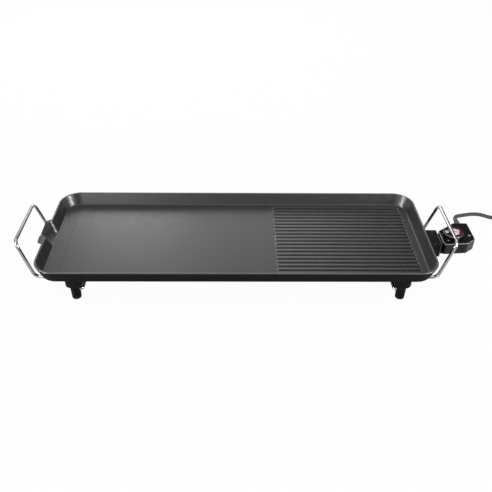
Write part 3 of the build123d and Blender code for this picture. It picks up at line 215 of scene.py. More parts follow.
def nonstick_coating(settings):
    """Sprayed and baked non-stick coating: satin charcoal with a fine pebbled skin and a faint speckle."""
    material, tree, shader, place = start_finish("nonstick_coating", {"IOR": 1.5, "Specular IOR Level": 0.5})
    colours = (settings.coating_dark, settings.coating_light)
    tint, mottle, fine = grain(tree, shader, place, colours, grain_mm=1.6, mottle_mm=7.0, depth_mm=0.05)
    # The speckle of the real coating is about 0.2 mm; it is drawn coarser, so that it shows
    specks = add_node(
        tree, "ShaderNodeTexVoronoi",
        settings={"feature": "F1"},
        values={"Scale": per_mm(1.3), "Randomness": 1.0},
        links={"Vector": place},
    )
    speck_share = add_node(
        tree, "ShaderNodeMapRange",
        values={"From Min": 0.06, "From Max": 0.22, "To Min": SPECK_STRENGTH, "To Max": 0.0},
        links={"Value": specks.outputs["Distance"]},
    )
    speckled = add_node(
        tree, "ShaderNodeMix",
        settings={"data_type": "RGBA"},
        values={7: settings.coating_speck},
        links={0: speck_share.outputs["Result"], 6: tint},
    )
    # The ribs are scraped smoother than the flat zone, and their crests are lightened as a painted
    # highlight, most at the front left
    left, right = settings.ribs_from, settings.ribs_to
    floor, rim = settings.floor_height, settings.rim_height
    on_ribs = (
        ("X", left - 1 * MM, left + 1 * MM, 0, 1),
        ("X", right - 40 * MM, right - 6 * MM, 1, 0),
        ("Z", floor + 0.3 * MM, floor + 0.6 * MM, 1, 0),
    )
    at_front = ("Y", HIGHLIGHT_DEPTH[0] * settings.depth, HIGHLIGHT_DEPTH[1] * settings.depth, 1, 0)
    crest_highlight_step = ("Z", floor - 2.2 * MM, floor - 0.1 * MM, GROOVE_PAINTED_LIGHT, CREST_PAINTED_HIGHLIGHT)
    rib_painted_highlight = fade(tree, place, *on_ribs, at_front, ("X", left, right, 1, RIGHT_END_HIGHLIGHT), crest_highlight_step)
    # The edge of the rim is lightened too, as a painted highlight
    edge = fade(tree, place, ("Z", rim - 0.9 * MM, rim - 0.1 * MM, 0, RIM_PAINTED_HIGHLIGHT))
    painted_highlight_share = add_node(
        tree, "ShaderNodeMath",
        settings={"operation": "MAXIMUM"},
        links={0: rib_painted_highlight, 1: edge},
    )
    # Lay the pale grey of the painted highlights over the coating's colour
    shown = add_node(
        tree, "ShaderNodeMix",
        settings={"data_type": "RGBA"},
        values={7: settings.coating_painted_highlight},
        links={0: painted_highlight_share.outputs[0], 6: speckled.outputs[2]},
    )
    tree.links.new(shown.outputs[2], shader.inputs["Base Color"])
    flat_shine = add_node(
        tree, "ShaderNodeMapRange",
        values={
            "From Min": 0.25, "From Max": 0.75,
            "To Min": FLAT_ROUGHNESS[0], "To Max": FLAT_ROUGHNESS[1],
        },
        links={"Value": mottle},
    )
    rib_shine = add_node(
        tree, "ShaderNodeMapRange",
        values={
            "From Min": 0.3, "From Max": 0.7,
            "To Min": RIB_ROUGHNESS[0], "To Max": RIB_ROUGHNESS[1],
        },
        links={"Value": fine},
    )
    shine = add_node(
        tree, "ShaderNodeMix",
        settings={"data_type": "FLOAT"},
        links={
            0: fade(tree, place, *on_ribs),
            2: flat_shine.outputs["Result"],
            3: rib_shine.outputs["Result"],
        },
    )
    tree.links.new(shine.outputs[0], shader.inputs["Roughness"])
    gloss = add_node(
        tree, "ShaderNodeMath",
        settings={"operation": "ADD"},
        values={1: 0.5},
        links={0: fade(tree, place, *on_ribs, at_front, ("X", left, right, RIB_GLOSS, 0))},
    )
    tree.links.new(gloss.outputs[0], shader.inputs["Specular IOR Level"])
    return material


def outer_paint(colours):
    """Heat-resistant black paint on the outside of the casting: dull, with a fine orange-peel skin."""
    material, tree, shader, place = start_finish("outer_paint", {"IOR": 1.5, "Specular IOR Level": 0.05})
    grain(tree, shader, place, colours, grain_mm=1.2, mottle_mm=40.0, depth_mm=0.04, roughness=(0.52, 0.64))
    return material


def chrome_plate(colours):
    """Bright chrome plate on bent steel wire: a mirror with faint drawing haze."""
    material, tree, shader, place = start_finish("chrome_plate", {"Metallic": 1.0})
    grain(tree, shader, place, colours, grain_mm=3.0, mottle_mm=25.0, depth_mm=0.004, roughness=(0.06, 0.13))
    return material


def moulded_black(name, colours, roughness, specular):
    """Black thermoplastic from a spark-eroded mould: a fine even grain that dulls its shine."""
    material, tree, shader, place = start_finish(name, {"IOR": 1.5, "Specular IOR Level": specular})
    grain(tree, shader, place, colours, grain_mm=0.9, mottle_mm=20.0, depth_mm=0.03, roughness=roughness)
    return material


def black_rubber(colours):
    """Moulded black rubber and cord sheath: matt, a little dusty and greyer in places."""
    material, tree, shader, place = start_finish("black_rubber", {"IOR": 1.52, "Specular IOR Level": 0.35})
    grain(tree, shader, place, colours, grain_mm=1.4, mottle_mm=18.0, depth_mm=0.03, roughness=(0.48, 0.60))
    return material


def bare_metal(name, colours, roughness):
    """Plain machined or drawn metal: uneven tone and fine tool haze."""
    material, tree, shader, place = start_finish(name, {"Metallic": 1.0})
    grain(tree, shader, place, colours, grain_mm=0.7, mottle_mm=9.0, depth_mm=0.006, roughness=roughness)
    return material


def white_ceramic(colours):
    """Unglazed ceramic: chalky off-white with a sandy grain."""
    material, tree, shader, place = start_finish(
        "unglazed_ceramic", {"IOR": 1.55, "Specular IOR Level": 0.3})
    grain(tree, shader, place, colours, grain_mm=0.5, mottle_mm=6.0, depth_mm=0.02, roughness=(0.65, 0.8))
    return material


def clear_window(name, colours):
    """Clear moulded polycarbonate: glossy, slightly milky, with a trace of the moulding's flow."""
    material, tree, shader, place = start_finish(
        name, {"IOR": 1.58, "Transmission Weight": 0.4, "Specular IOR Level": 0.5})
    grain(tree, shader, place, colours, grain_mm=0.8, mottle_mm=5.0, depth_mm=0.004, roughness=(0.08, 0.16))
    return material


def put(name, mesh, body, materials):
    """A new piece from a mesh, with its materials, on a CAD body."""
    piece = bpy.data.objects.new(name, mesh)
    bpy.context.scene.collection.objects.link(piece)
    for material in materials:
        mesh.materials.append(material)
    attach(piece, body)
    return piece


def dress(material, *nodes):
    """Give CAD nodes that keep their own mesh a finish."""
    for name in nodes:
        slots = frame["nodes"][name].data.materials
        slots.clear()
        slots.append(material)


def smooth_copy(node, name, materials, choose=None):
    """Stand a merged, smoothly shaded copy in for a CAD node, its faces given materials by choose."""
    source = frame["nodes"][node]
    shape = bmesh.new()
    shape.from_mesh(source.data)
    bmesh.ops.remove_doubles(shape, verts=shape.verts, dist=MERGE)
    bmesh.ops.dissolve_degenerate(shape, edges=shape.edges, dist=MERGE / 4)
    for face in shape.faces:
        face.smooth = True
        face.material_index = choose(face) if choose else 0
    for edge in shape.edges:
        edge.smooth = len(edge.link_faces) == 2 and edge.calc_face_angle(math.pi) < SHARP_EDGE
    mesh = bpy.data.meshes.new(name)
    shape.to_mesh(mesh)
    shape.free()
    piece = put(name, mesh, source["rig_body"], materials)
    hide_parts(node)
    weighted = piece.modifiers.new("weighted_normals", "WEIGHTED_NORMAL")
    weighted.mode = "FACE_AREA"
    weighted.keep_sharp = True
    return piece


class GriddleStageSettings(PropertyGroup):
    """The camera of the photograph, and the light."""

    camera_place: FloatVectorProperty(
        name="Camera Place", description="Where the camera stands", size=3, subtype="TRANSLATION",
        default=(-0.02325, -0.8479, 0.6687))
    camera_lens: FloatProperty(
        name="Lens", description="Focal length on a 36 mm sensor", default=44.81, unit="CAMERA")
    camera_pitch: FloatProperty(
        name="Pitch", description="How far the camera looks down", subtype="ANGLE",
        default=math.radians(36.676))
    camera_yaw: FloatProperty(
        name="Yaw", description="How far the camera looks to the right", subtype="ANGLE",
        default=math.radians(1.094))
    camera_roll: FloatProperty(
        name="Roll", description="How far the camera leans", subtype="ANGLE",
        default=math.radians(-0.778))
    top_power: FloatProperty(
        name="Top Light", description="Large soft light overhead", default=75.0, unit="POWER")
    panel_power: FloatProperty(
        name="Back Panel", description="Wide soft panel behind", default=4.6, unit="POWER")
    back_power: FloatProperty(
        name="Back Light", description="Small soft light behind and to the left", default=2.9, unit="POWER")
    window_power: FloatProperty(
        name="Window Light", description="Soft light in front, low and to the left", default=3.6,
        unit="POWER")
    strip_power: FloatProperty(
        name="Strip Lights", description="Tall strips at both sides, seen in reflections", default=23.0,
        unit="POWER")
    front_power: FloatProperty(
        name="Front Light", description="Small soft light in front, high and to the right", default=2.4,
        unit="POWER")
    fill: FloatProperty(
        name="Fill", description="Even light from all round", default=0.12, min=0.0)
    backdrop: FloatProperty(
        name="Backdrop", description="Brightness of the backdrop in reflections", default=0.8, min=0.0)
    ceiling: FloatProperty(
        name="Ceiling", description="Brightness of the ceiling in reflections", default=0.32, min=0.0)
    right_dark: FloatProperty(
        name="Right Side", description="Share of that light left at the right", default=0.12,
        subtype="FACTOR")
    left_dark: FloatProperty(
        name="Left Side", description="Share of that light left at the left", default=0.15, subtype="FACTOR")
    floor_width: FloatProperty(
        name="Floor", description="Width of the floor", default=12.0, unit="LENGTH")
    floor_colour: FloatVectorProperty(
        name="Floor Colour", description="Colour of the paper floor", size=4, subtype="COLOR",
        default=linear("#f4f4f4"))
    floor_white: FloatProperty(
        name="Floor White", description="Share of plain white in the floor, to the camera", default=0.97,
        subtype="FACTOR")
    floor_mirrored: FloatProperty(
        name="Floor Mirrored", description="Share of plain white in the floor, in reflections", default=0.25,
        subtype="FACTOR")


class GriddlePlateSettings(PropertyGroup):
    """The cooking plate and its coating."""

    middle_x: FloatProperty(
        name="Middle", description="Middle of the plate along X", default=-0.0221, unit="LENGTH")
    length: FloatProperty(name="Length", description="Rim length", default=0.641, unit="LENGTH")
    depth: FloatProperty(name="Depth", description="Rim depth", default=0.238, unit="LENGTH")
    corner: FloatProperty(name="Corner", description="Rim corner radius", default=0.036, unit="LENGTH")
    rim_height: FloatProperty(
        name="Rim Height", description="Rim above the table", default=0.072, unit="LENGTH")
    wall: FloatProperty(name="Wall", description="Wall thickness", default=0.0036, unit="LENGTH")
    slope: FloatProperty(
        name="Slope", description="Lean of the wall for each unit of height", default=10 / 26)
    spout_width: FloatProperty(
        name="Spout", description="Width of the spout with its cheeks", default=0.066, unit="LENGTH")
    underside: FloatProperty(
        name="Underside", description="Underside above the table", default=0.046, unit="LENGTH")
    floor_height: FloatProperty(
        name="Floor Height", description="Cooking floor above the table", default=0.052, unit="LENGTH")
    ribs_from: FloatProperty(
        name="Ribs From", description="Left end of the ribbed zone along X", default=0.0419, unit="LENGTH")
    ribs_to: FloatProperty(
        name="Ribs To", description="Right end of the ribbed zone along X", default=0.2749, unit="LENGTH")
    coating_dark: FloatVectorProperty(
        name="Coating Dark", description="Darker tone of the coating", size=4, subtype="COLOR",
        default=linear("#2e2e2f"))
    coating_light: FloatVectorProperty(
        name="Coating Light", description="Lighter tone of the coating", size=4, subtype="COLOR",
        default=linear("#373738"))
    coating_speck: FloatVectorProperty(
        name="Coating Speck", description="Colour of the coating's speckle", size=4, subtype="COLOR",
        default=linear("#5a5a5c"))
    # Pale grey laid on the rim and the rib crests as a painted highlight
    coating_painted_highlight: FloatVectorProperty(
        name="Coating Painted Highlight", description="Colour where the coating is thin", size=4, subtype="COLOR",
        default=linear("#5f5f61"))
    paint_dark: FloatVectorProperty(
        name="Paint Dark", description="Darker tone of the outer paint", size=4, subtype="COLOR",
        default=linear("#131314"))
    paint_light: FloatVectorProperty(
        name="Paint Light", description="Lighter tone of the outer paint", size=4, subtype="COLOR",
        default=linear("#1a1a1b"))


class GriddleStandSettings(PropertyGroup):
    """The wire handles and the feet."""

    chrome_dark: FloatVectorProperty(
        name="Chrome Dark", description="Darker tone of the handles", size=4, subtype="COLOR",
        default=linear("#a3a5a8"))
    chrome_light: FloatVectorProperty(
        name="Chrome Light", description="Lighter tone of the handles", size=4, subtype="COLOR",
        default=linear("#b4b6b9"))
    foot_dark: FloatVectorProperty(
        name="Foot Dark", description="Darker tone of the feet", size=4, subtype="COLOR",
        default=linear("#0c0c0d"))
    foot_light: FloatVectorProperty(
        name="Foot Light", description="Lighter tone of the feet", size=4, subtype="COLOR",
        default=linear("#131314"))


class GriddleCordSettings(PropertyGroup):
    """The mains cord, from the control plug to the mains plug."""

    diameter: FloatProperty(name="Diameter", description="Cord diameter", default=0.007, unit="LENGTH")
    length: FloatProperty(
        name="Length", description="Whole length of the cord", default=1.603, unit="LENGTH")
    lead_exit: FloatVectorProperty(
        name="Exit", description="Where the cord leaves its boot", size=3, subtype="TRANSLATION",
        default=(0.3694, 0.0515, 0.053))
    lead_along: FloatProperty(
        name="Lead Along", description="Reach of the lead to the right", default=0.1575, unit="LENGTH")
    lead_back: FloatProperty(
        name="Lead Back", description="Reach of the lead to the back", default=0.087, unit="LENGTH")
    coil_middle: FloatVectorProperty(
        name="Coil Middle", description="Middle of the coil, at its lower layer", size=3,
        subtype="TRANSLATION", default=(0.5339, 0.09, 0.0051))
    coil_radius: FloatProperty(
        name="Coil Radius", description="Radius of the first turn", default=0.0485, unit="LENGTH")
    coil_step: FloatProperty(
        name="Coil Step", description="Change of radius at each half turn", default=0.0046, unit="LENGTH")
    coil_layer: FloatProperty(
        name="Coil Layer", description="Height of the upper layer over the lower", default=0.0076,
        unit="LENGTH")
    turns_in: IntProperty(name="Half Turns In", description="Half turns of the lower layer", default=4)
    turns_out: IntProperty(name="Half Turns Out", description="Half turns of the upper layer", default=5)
    half_turn_points: IntProperty(name="Points", description="Points in half a turn of the coil", default=8)
    plug_height: FloatProperty(
        name="Plug Height", description="Height of the mains plug's axis", default=0.018, unit="LENGTH")
    rubber_dark: FloatVectorProperty(
        name="Rubber Dark", description="Darker tone of the cord", size=4, subtype="COLOR",
        default=linear("#4a4a4c"))
    rubber_light: FloatVectorProperty(
        name="Rubber Light", description="Lighter tone of the cord", size=4, subtype="COLOR",
        default=linear("#58585a"))


class GriddleControlSettings(PropertyGroup):
    """The control plug's case, its dial and the dial's printed marks."""

    case_dark: FloatVectorProperty(
        name="Case Dark", description="Darker tone of the case", size=4, subtype="COLOR",
        default=linear("#050506"))
    case_light: FloatVectorProperty(
        name="Case Light", description="Lighter tone of the case", size=4, subtype="COLOR",
        default=linear("#0a0a0b"))
    dial_middle: FloatVectorProperty(
        name="Dial Middle", description="Axis of the dial", size=3, subtype="TRANSLATION",
        default=(0.3452, -0.003, 0.0639))
    print_white: FloatVectorProperty(
        name="Print White", description="Colour of the dial's light print", size=4, subtype="COLOR",
        default=linear("#efe6e8"))
    print_red: FloatVectorProperty(
        name="Print Red", description="Colour of the dial's hot marks", size=4, subtype="COLOR",
        default=linear("#9c1230"))
    index_spot: FloatVectorProperty(
        name="Index Spot", description="Place of the index dot on the case", size=3, subtype="TRANSLATION",
        default=(0.3336, -0.0183, 0.0635))
    index_radius: FloatProperty(
        name="Index Radius", description="Radius of the index dot", default=0.0013, unit="LENGTH")


class GRIDDLE_OT_stage(Operator):
    """Set up the photograph's camera, a pale floor and soft studio light"""

    bl_idname = "griddle.stage"
    bl_label = "Stage"

    def execute(self, context):
        settings = context.scene.griddle_stage
        scene = context.scene
        scene.view_settings.view_transform = "Standard"
        self.camera(scene, settings)
        self.floor(scene, settings)
        self.world(scene, settings)
        self.softbox(
            scene, "top_light", settings.top_power,
            size=(5.0, 4.0), place=(0, 0, 2.6), target=(0, 0, 0))
        self.softbox(
            scene, "back_panel", settings.panel_power,
            size=(1.3, 0.85), place=(-0.15, 1.6, 0.87), target=(-0.02, 0, 0.05))
        self.softbox(
            scene, "back_light", settings.back_power,
            size=(0.45, 0.5), place=(-0.52, 1.5, 0.73), target=(-0.21, 0.04, 0.05))
        self.softbox(
            scene, "window_light", settings.window_power,
            size=(0.36, 0.6), place=(-0.7, -1.4, 0.46), target=(-0.29, 0.11, 0.06))
        self.softbox(
            scene, "left_strip", settings.strip_power,
            size=(0.2, 0.5), place=(-1.0, -0.5, 0.32), target=(0.28, 0.11, 0.06), lights_all=False)
        self.softbox(
            scene, "right_strip", settings.strip_power,
            size=(0.2, 0.5), place=(0.95, -0.5, 0.32), target=(-0.33, 0.11, 0.06), lights_all=False)
        self.softbox(
            scene, "front_light", settings.front_power,
            size=(0.4, 0.4), place=(0.95, -0.95, 1.0), target=(0.35, 0, 0.06))
        return {"FINISHED"}

    def camera(self, scene, settings):
        """The photograph's camera, from its place and three angles."""
        data = bpy.data.cameras.new("photo_camera")
        data.sensor_width = 36.0
        data.lens = settings.camera_lens
        data.clip_start = 0.01
        camera = bpy.data.objects.new("photo_camera", data)
        scene.collection.objects.link(camera)
        pitch, yaw, roll = settings.camera_pitch, settings.camera_yaw, settings.camera_roll
        ahead = Vector((math.sin(yaw) * math.cos(pitch), math.cos(yaw) * math.cos(pitch), -math.sin(pitch)))
        right = Vector((math.cos(yaw), -math.sin(yaw), 0))
        down = ahead.cross(right)
        across = math.cos(roll) * right + math.sin(roll) * down
        drop = math.cos(roll) * down - math.sin(roll) * right
        turn = Matrix((across, -drop, -ahead)).transposed().to_4x4()
        camera.matrix_world = Matrix.Translation(settings.camera_place) @ turn
        scene.camera = camera

    def floor(self, scene, settings):
        """White paper that is nearly plain white to the camera, and keeps the object's shadow."""
        shape = bmesh.new()
        bmesh.ops.create_grid(shape, x_segments=1, y_segments=1, size=settings.floor_width / 2)
        bmesh.ops.translate(shape, verts=shape.verts, vec=(0, 0, -FLOOR_DROP))
        mesh = bpy.data.meshes.new("studio_floor")
        shape.to_mesh(mesh)
        shape.free()
        floor = bpy.data.objects.new("studio_floor", mesh)
        scene.collection.objects.link(floor)
        material = bpy.data.materials.new("white_paper_floor")
        material.use_nodes = True
        tree = material.node_tree
        tree.nodes.clear()
        path = add_node(tree, "ShaderNodeLightPath")
        clear = add_node(
            tree, "ShaderNodeMath",
            settings={"operation": "MAXIMUM"},
            links={0: path.outputs["Is Camera Ray"], 1: path.outputs["Is Transmission Ray"]},
        )
        shown = add_node(
            tree, "ShaderNodeMath",
            settings={"operation": "MULTIPLY"},
            values={1: settings.floor_white},
            links={0: clear.outputs[0]},
        )
        # In reflections the floor keeps more of the object's shade
        mirrored = add_node(
            tree, "ShaderNodeMath",
            settings={"operation": "MULTIPLY"},
            values={1: settings.floor_mirrored},
            links={0: path.outputs["Is Glossy Ray"]},
        )
        share = add_node(
            tree, "ShaderNodeMath",
            settings={"operation": "MAXIMUM"},
            links={0: shown.outputs[0], 1: mirrored.outputs[0]},
        )
        paper = add_node(tree, "ShaderNodeBsdfDiffuse", values={"Color": settings.floor_colour})
        white = add_node(tree, "ShaderNodeEmission", values={"Color": (1, 1, 1, 1), "Strength": 1.0})
        both = add_node(
            tree, "ShaderNodeMixShader",
            links={0: share.outputs[0], 1: paper.outputs[0], 2: white.outputs[0]},
        )
        add_node(tree, "ShaderNodeOutputMaterial", links={"Surface": both.outputs[0]})
        mesh.materials.append(material)

    def world(self, scene, settings):
        """Plain white to the camera, an even fill for the object, and a studio for its reflections."""
        world = bpy.data.worlds.new("studio")
        scene.world = world
        world.use_nodes = True
        tree = world.node_tree
        tree.nodes.clear()
        way = add_node(tree, "ShaderNodeTexCoord").outputs["Generated"]
        # A white backdrop behind, a dimmer ceiling over it, and the dark of the studio at both sides
        studio = fade(
            tree, way,
            ("Z", *CEILING, settings.backdrop, settings.ceiling),
            ("X", *RIGHT_SIDE, 1, settings.right_dark),
            ("X", *LEFT_SIDE, settings.left_dark, 1),
            interpolation="SMOOTHSTEP",
        )
        path = add_node(tree, "ShaderNodeLightPath")
        clear = add_node(
            tree, "ShaderNodeMath",
            settings={"operation": "MAXIMUM"},
            links={0: path.outputs["Is Glossy Ray"], 1: path.outputs["Is Transmission Ray"]},
        )
        level = add_node(
            tree, "ShaderNodeMix",
            settings={"data_type": "FLOAT"},
            values={2: settings.fill},
            links={0: clear.outputs[0], 3: studio},
        )
        seen = add_node(
            tree, "ShaderNodeMix",
            settings={"data_type": "FLOAT"},
            values={3: 1.0},
            links={0: path.outputs["Is Camera Ray"], 2: level.outputs[0]},
        )
        light = add_node(
            tree, "ShaderNodeBackground",
            values={"Color": (1, 1, 1, 1)},
            links={"Strength": seen.outputs[0]},
        )
        add_node(tree, "ShaderNodeOutputWorld", links={"Surface": light.outputs[0]})

    def softbox(self, scene, name, power, size, place, target, lights_all=True):
        """A soft light aimed at a spot. A card that only shows as a reflection lights nothing else."""
        data = bpy.data.lights.new(name, "AREA")
        data.shape = "RECTANGLE"
        data.size, data.size_y = size
        data.energy = power
        lamp = bpy.data.objects.new(name, data)
        lamp.visible_camera = False
        lamp.visible_diffuse = lights_all
        scene.collection.objects.link(lamp)
        lamp.location = place
        lamp.rotation_euler = (Vector(target) - Vector(place)).to_track_quat("-Z", "Y").to_euler()


class GRIDDLE_OT_cord(Operator):
    """Lay the mains cord: the lead as photographed, a tied coil, and a tail to the plug"""

    bl_idname = "griddle.cord"
    bl_label = "Mains Cord"

    def execute(self, context):
        settings = context.scene.griddle_cord
        route = self.lead(settings) + self.coil(settings) + self.tail(settings)
        curve = bpy.data.curves.new("mains_cord", "CURVE")
        curve.dimensions = "3D"
        curve.bevel_depth = settings.diameter / 2
        curve.bevel_resolution = 5
        curve.resolution_u = 8
        curve.use_fill_caps = True
        spline = curve.splines.new("NURBS")
        spline.points.add(len(route) - 1)
        for point, spot in zip(spline.points, route):
            point.co = (*spot, 1.0)
        spline.order_u = 3
        spline.use_endpoint_u = True
        cord = bpy.data.objects.new("mains_cord", curve)
        context.scene.collection.objects.link(cord)
        rubber = black_rubber((settings.rubber_dark, settings.rubber_light))
        curve.materials.append(rubber)
        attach(cord, "control_plug")
        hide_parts("cord_lead", "cord_coil", "cord_tail")
        smooth_copy("cord_boot", "moulded_cord_boot", [rubber])
        plug_boot = smooth_copy("plug_boot", "moulded_plug_boot", [rubber])
        plastic = moulded_black(
            "moulded_plug_black", pair("#1b1b1c", "#222223"), roughness=(0.42, 0.52), specular=0.35)
        plug_body = smooth_copy("plug_body", "moulded_plug_body", [plastic])
        brass = bare_metal("nickel_plated_brass", pair("#c9c4b8", "#d8d4ca"), (0.16, 0.26))
        dress(brass, "plug_pins", "plug_earth_clips")
        dress(rubber, "cord_tie")
        tuple(settings.lead_exit)
        return {"FINISHED"}

    def lead(self, settings):
        """Out of the boot to the back, over to the right and down to the table."""
        # Shares of the reach to the right, of the reach to the back, and of the boot's height
        shares = (
            (0, 0, 1), (0, 0.115, 1), (0.027, 0.222, 0.98), (0.098, 0.325, 0.892), (0.21, 0.485, 0.746),
            (0.345, 0.69, 0.534), (0.5, 0.885, 0.262), (0.669, 0.98, -0.026), (0.85, 1, 0), (1, 1, 0))
        leave = settings.lead_exit
        floor = settings.coil_middle[2]
        points = []
        for along, back, height in shares:
            points.append(Vector((
                leave[0] + along * settings.lead_along,
                leave[1] + back * settings.lead_back,
                floor + height * (leave[2] - floor))))
        return points

    def radius(self, settings, joint):
        """The coil's radius where one half turn meets the next."""
        if joint <= settings.turns_in:
            return settings.coil_radius - joint * settings.coil_step
        inner = settings.coil_radius - settings.turns_in * settings.coil_step
        return inner + (joint - settings.turns_in - 1) * settings.coil_step

    def coil(self, settings):
        """Half turns that shrink in the lower layer, rise, and grow in the upper layer."""
        middle = Vector(settings.coil_middle)
        count = settings.half_turn_points
        # The curve runs a little inside its points, so the points stand further out by this share
        pull = 0.75 + 0.25 * math.cos(math.pi / count)
        points = []
        for turn in range(settings.turns_in + settings.turns_out + 1):
            start, stop = self.radius(settings, turn), self.radius(settings, turn + 1)
            side = 1 if turn % 2 == 0 else -1
            for step in range(count):
                share = (step + 0.5) / count
                angle = math.pi / 2 - math.pi * (turn + share)
                reach = (start + stop) / 2 / pull
                rise = share if turn == settings.turns_in else float(turn > settings.turns_in)
                points.append(middle + Vector((
                    reach * math.cos(angle),
                    side * (start - stop) / 2 + reach * math.sin(angle),
                    rise * settings.coil_layer)))
        return points

    def tail(self, settings):
        """Off the upper layer, down to the table and into the plug's boot."""
        middle = Vector(settings.coil_middle)
        size = settings.coil_radius
        end = self.radius(settings, settings.turns_in + settings.turns_out + 1) / size
        layer = settings.coil_layer
        lift = settings.plug_height - middle.z
        # Shares of the coil's radius to the right and to the back, then a height over its lower layer
        spots = (
            (0.14, end, layer), (0.41, end, layer), (0.74, 0.99, 0.75 * layer), (1.07, 0.76, 0.3 * layer),
            (1.29, 0.4, 0), (1.37, -0.02, 0), (1.39, -0.39, 0.33 * lift), (1.39, -0.74, lift),
            (1.39, -1.07, lift))
        return [middle + Vector((size * along, size * back, height)) for along, back, height in spots]


class GRIDDLE_OT_plate(Operator):
    """Coat the cooking plate inside, and paint it outside and below"""

    bl_idname = "griddle.plate"
    bl_label = "Cooking Plate"

    def execute(self, context):
        settings = context.scene.griddle_plate
        coating = nonstick_coating(settings)
        paint = outer_paint((settings.paint_dark, settings.paint_light))

        def choose(face):
            return 1 if self.outside(settings, face) else 0

        smooth_copy("grill_plate", "coated_plate", [coating, paint], choose)
        return {"FINISHED"}

    def outside(self, settings, face):
        """Whether a face is on the outer wall or the underside, and not on the spout."""
        spot = face.calc_center_median()
        if spot.z < settings.underside + settings.wall / 2 or face.normal.z < FACES_DOWN:
            return True
        if spot.z > settings.rim_height - settings.wall / 3:
            return False
        inset = settings.slope * (settings.rim_height - spot.z) + settings.wall / 2
        along = spot.x - settings.middle_x
        corner = settings.corner - inset
        past_x = abs(along) - (settings.length / 2 - inset - corner)
        past_y = abs(spot.y) - (settings.depth / 2 - inset - corner)
        reach = math.hypot(max(past_x, 0), max(past_y, 0)) + min(max(past_x, past_y), 0) - corner
        if along < 0 and abs(spot.y) < settings.spout_width / 2:
            return 0 < reach < settings.wall and face.normal.x < FACES_LEFT
        return reach > 0


class GRIDDLE_OT_handles(Operator):
    """Chrome the two wire handles"""

    bl_idname = "griddle.handles"
    bl_label = "Wire Handles"

    def execute(self, context):
        settings = context.scene.griddle_stand
        chrome = chrome_plate((settings.chrome_dark, settings.chrome_light))
        smooth_copy("handle_left", "wire_handle_left", [chrome])
        smooth_copy("handle_right", "wire_handle_right", [chrome])
        return {"FINISHED"}


class GRIDDLE_OT_feet(Operator):
    """Mould the four feet, their rubber pads and screws"""

    bl_idname = "griddle.feet"
    bl_label = "Feet"

    def execute(self, context):
        settings = context.scene.griddle_stand
        colours = (settings.foot_dark, settings.foot_light)
        plastic = moulded_black("moulded_foot_black", colours, roughness=(0.46, 0.56), specular=0.1)
        rubber = black_rubber(pair("#1e1e1f", "#2a2a2b"))
        steel = bare_metal("zinc_plated_steel", pair("#9b9ca0", "#b3b4b8"), (0.28, 0.4))
        for corner in ("front_left", "front_right", "back_left", "back_right"):
            smooth_copy(f"foot_{corner}", f"moulded_foot_{corner}", [plastic])
            dress(rubber, f"foot_pad_{corner}")
        dress(steel, "foot_screws")
        return {"FINISHED"}


class GRIDDLE_OT_element(Operator):
    """Finish the heating element under the plate, its seals and the terminals"""

    bl_idname = "griddle.element"
    bl_label = "Heating Element"

    def execute(self, context):
        sheath = bare_metal("heat_tinted_steel", pair("#6d6861", "#8b8276"), (0.34, 0.48))
        nickel = bare_metal("nickel_plated_pin", pair("#b9b8b4", "#cdccc8"), (0.2, 0.3))
        dress(sheath, "heating_element")
        dress(white_ceramic(pair("#d9d3c6", "#e6e1d6")), "element_seals")
        dress(nickel, "terminal_pins", "earth_pin")
        return {"FINISHED"}


class GRIDDLE_OT_socket(Operator):
    """Mould the socket under the rim, with its screws"""

    bl_idname = "griddle.socket"
    bl_label = "Socket"

    def execute(self, context):
        smooth_copy("socket_shroud", "moulded_socket", [self.black_with_painted_edge_highlight()])
        steel = bare_metal("zinc_plated_screw", pair("#9b9ca0", "#b3b4b8"), (0.28, 0.4))
        dress(steel, "shroud_screws")
        return {"FINISHED"}

    def black_with_painted_edge_highlight(self):
        """Black thermoplastic whose open end carries a grey band, a painted highlight on its edge."""
        material, tree, shader, place = start_finish(
            "moulded_socket_black", {"IOR": 1.5, "Specular IOR Level": 0.15})
        tint = grain(
            tree, shader, place, pair("#0a0a0b", "#101011"),
            grain_mm=0.9, mottle_mm=20.0, depth_mm=0.03, roughness=(0.3, 0.4))[0]
        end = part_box("socket_shroud")[1][0]
        # A light grey band at the open end: a painted highlight
        edge_highlight = add_node(
            tree, "ShaderNodeMix",
            settings={"data_type": "RGBA"},
            values={7: linear("#98989a")},
            links={0: fade(tree, place, ("X", end - 1.8 * MM, end - 1.2 * MM, 0, SOCKET_PAINTED_HIGHLIGHT)), 6: tint},
        )
        tree.links.new(edge_highlight.outputs[2], shader.inputs["Base Color"])
        return material


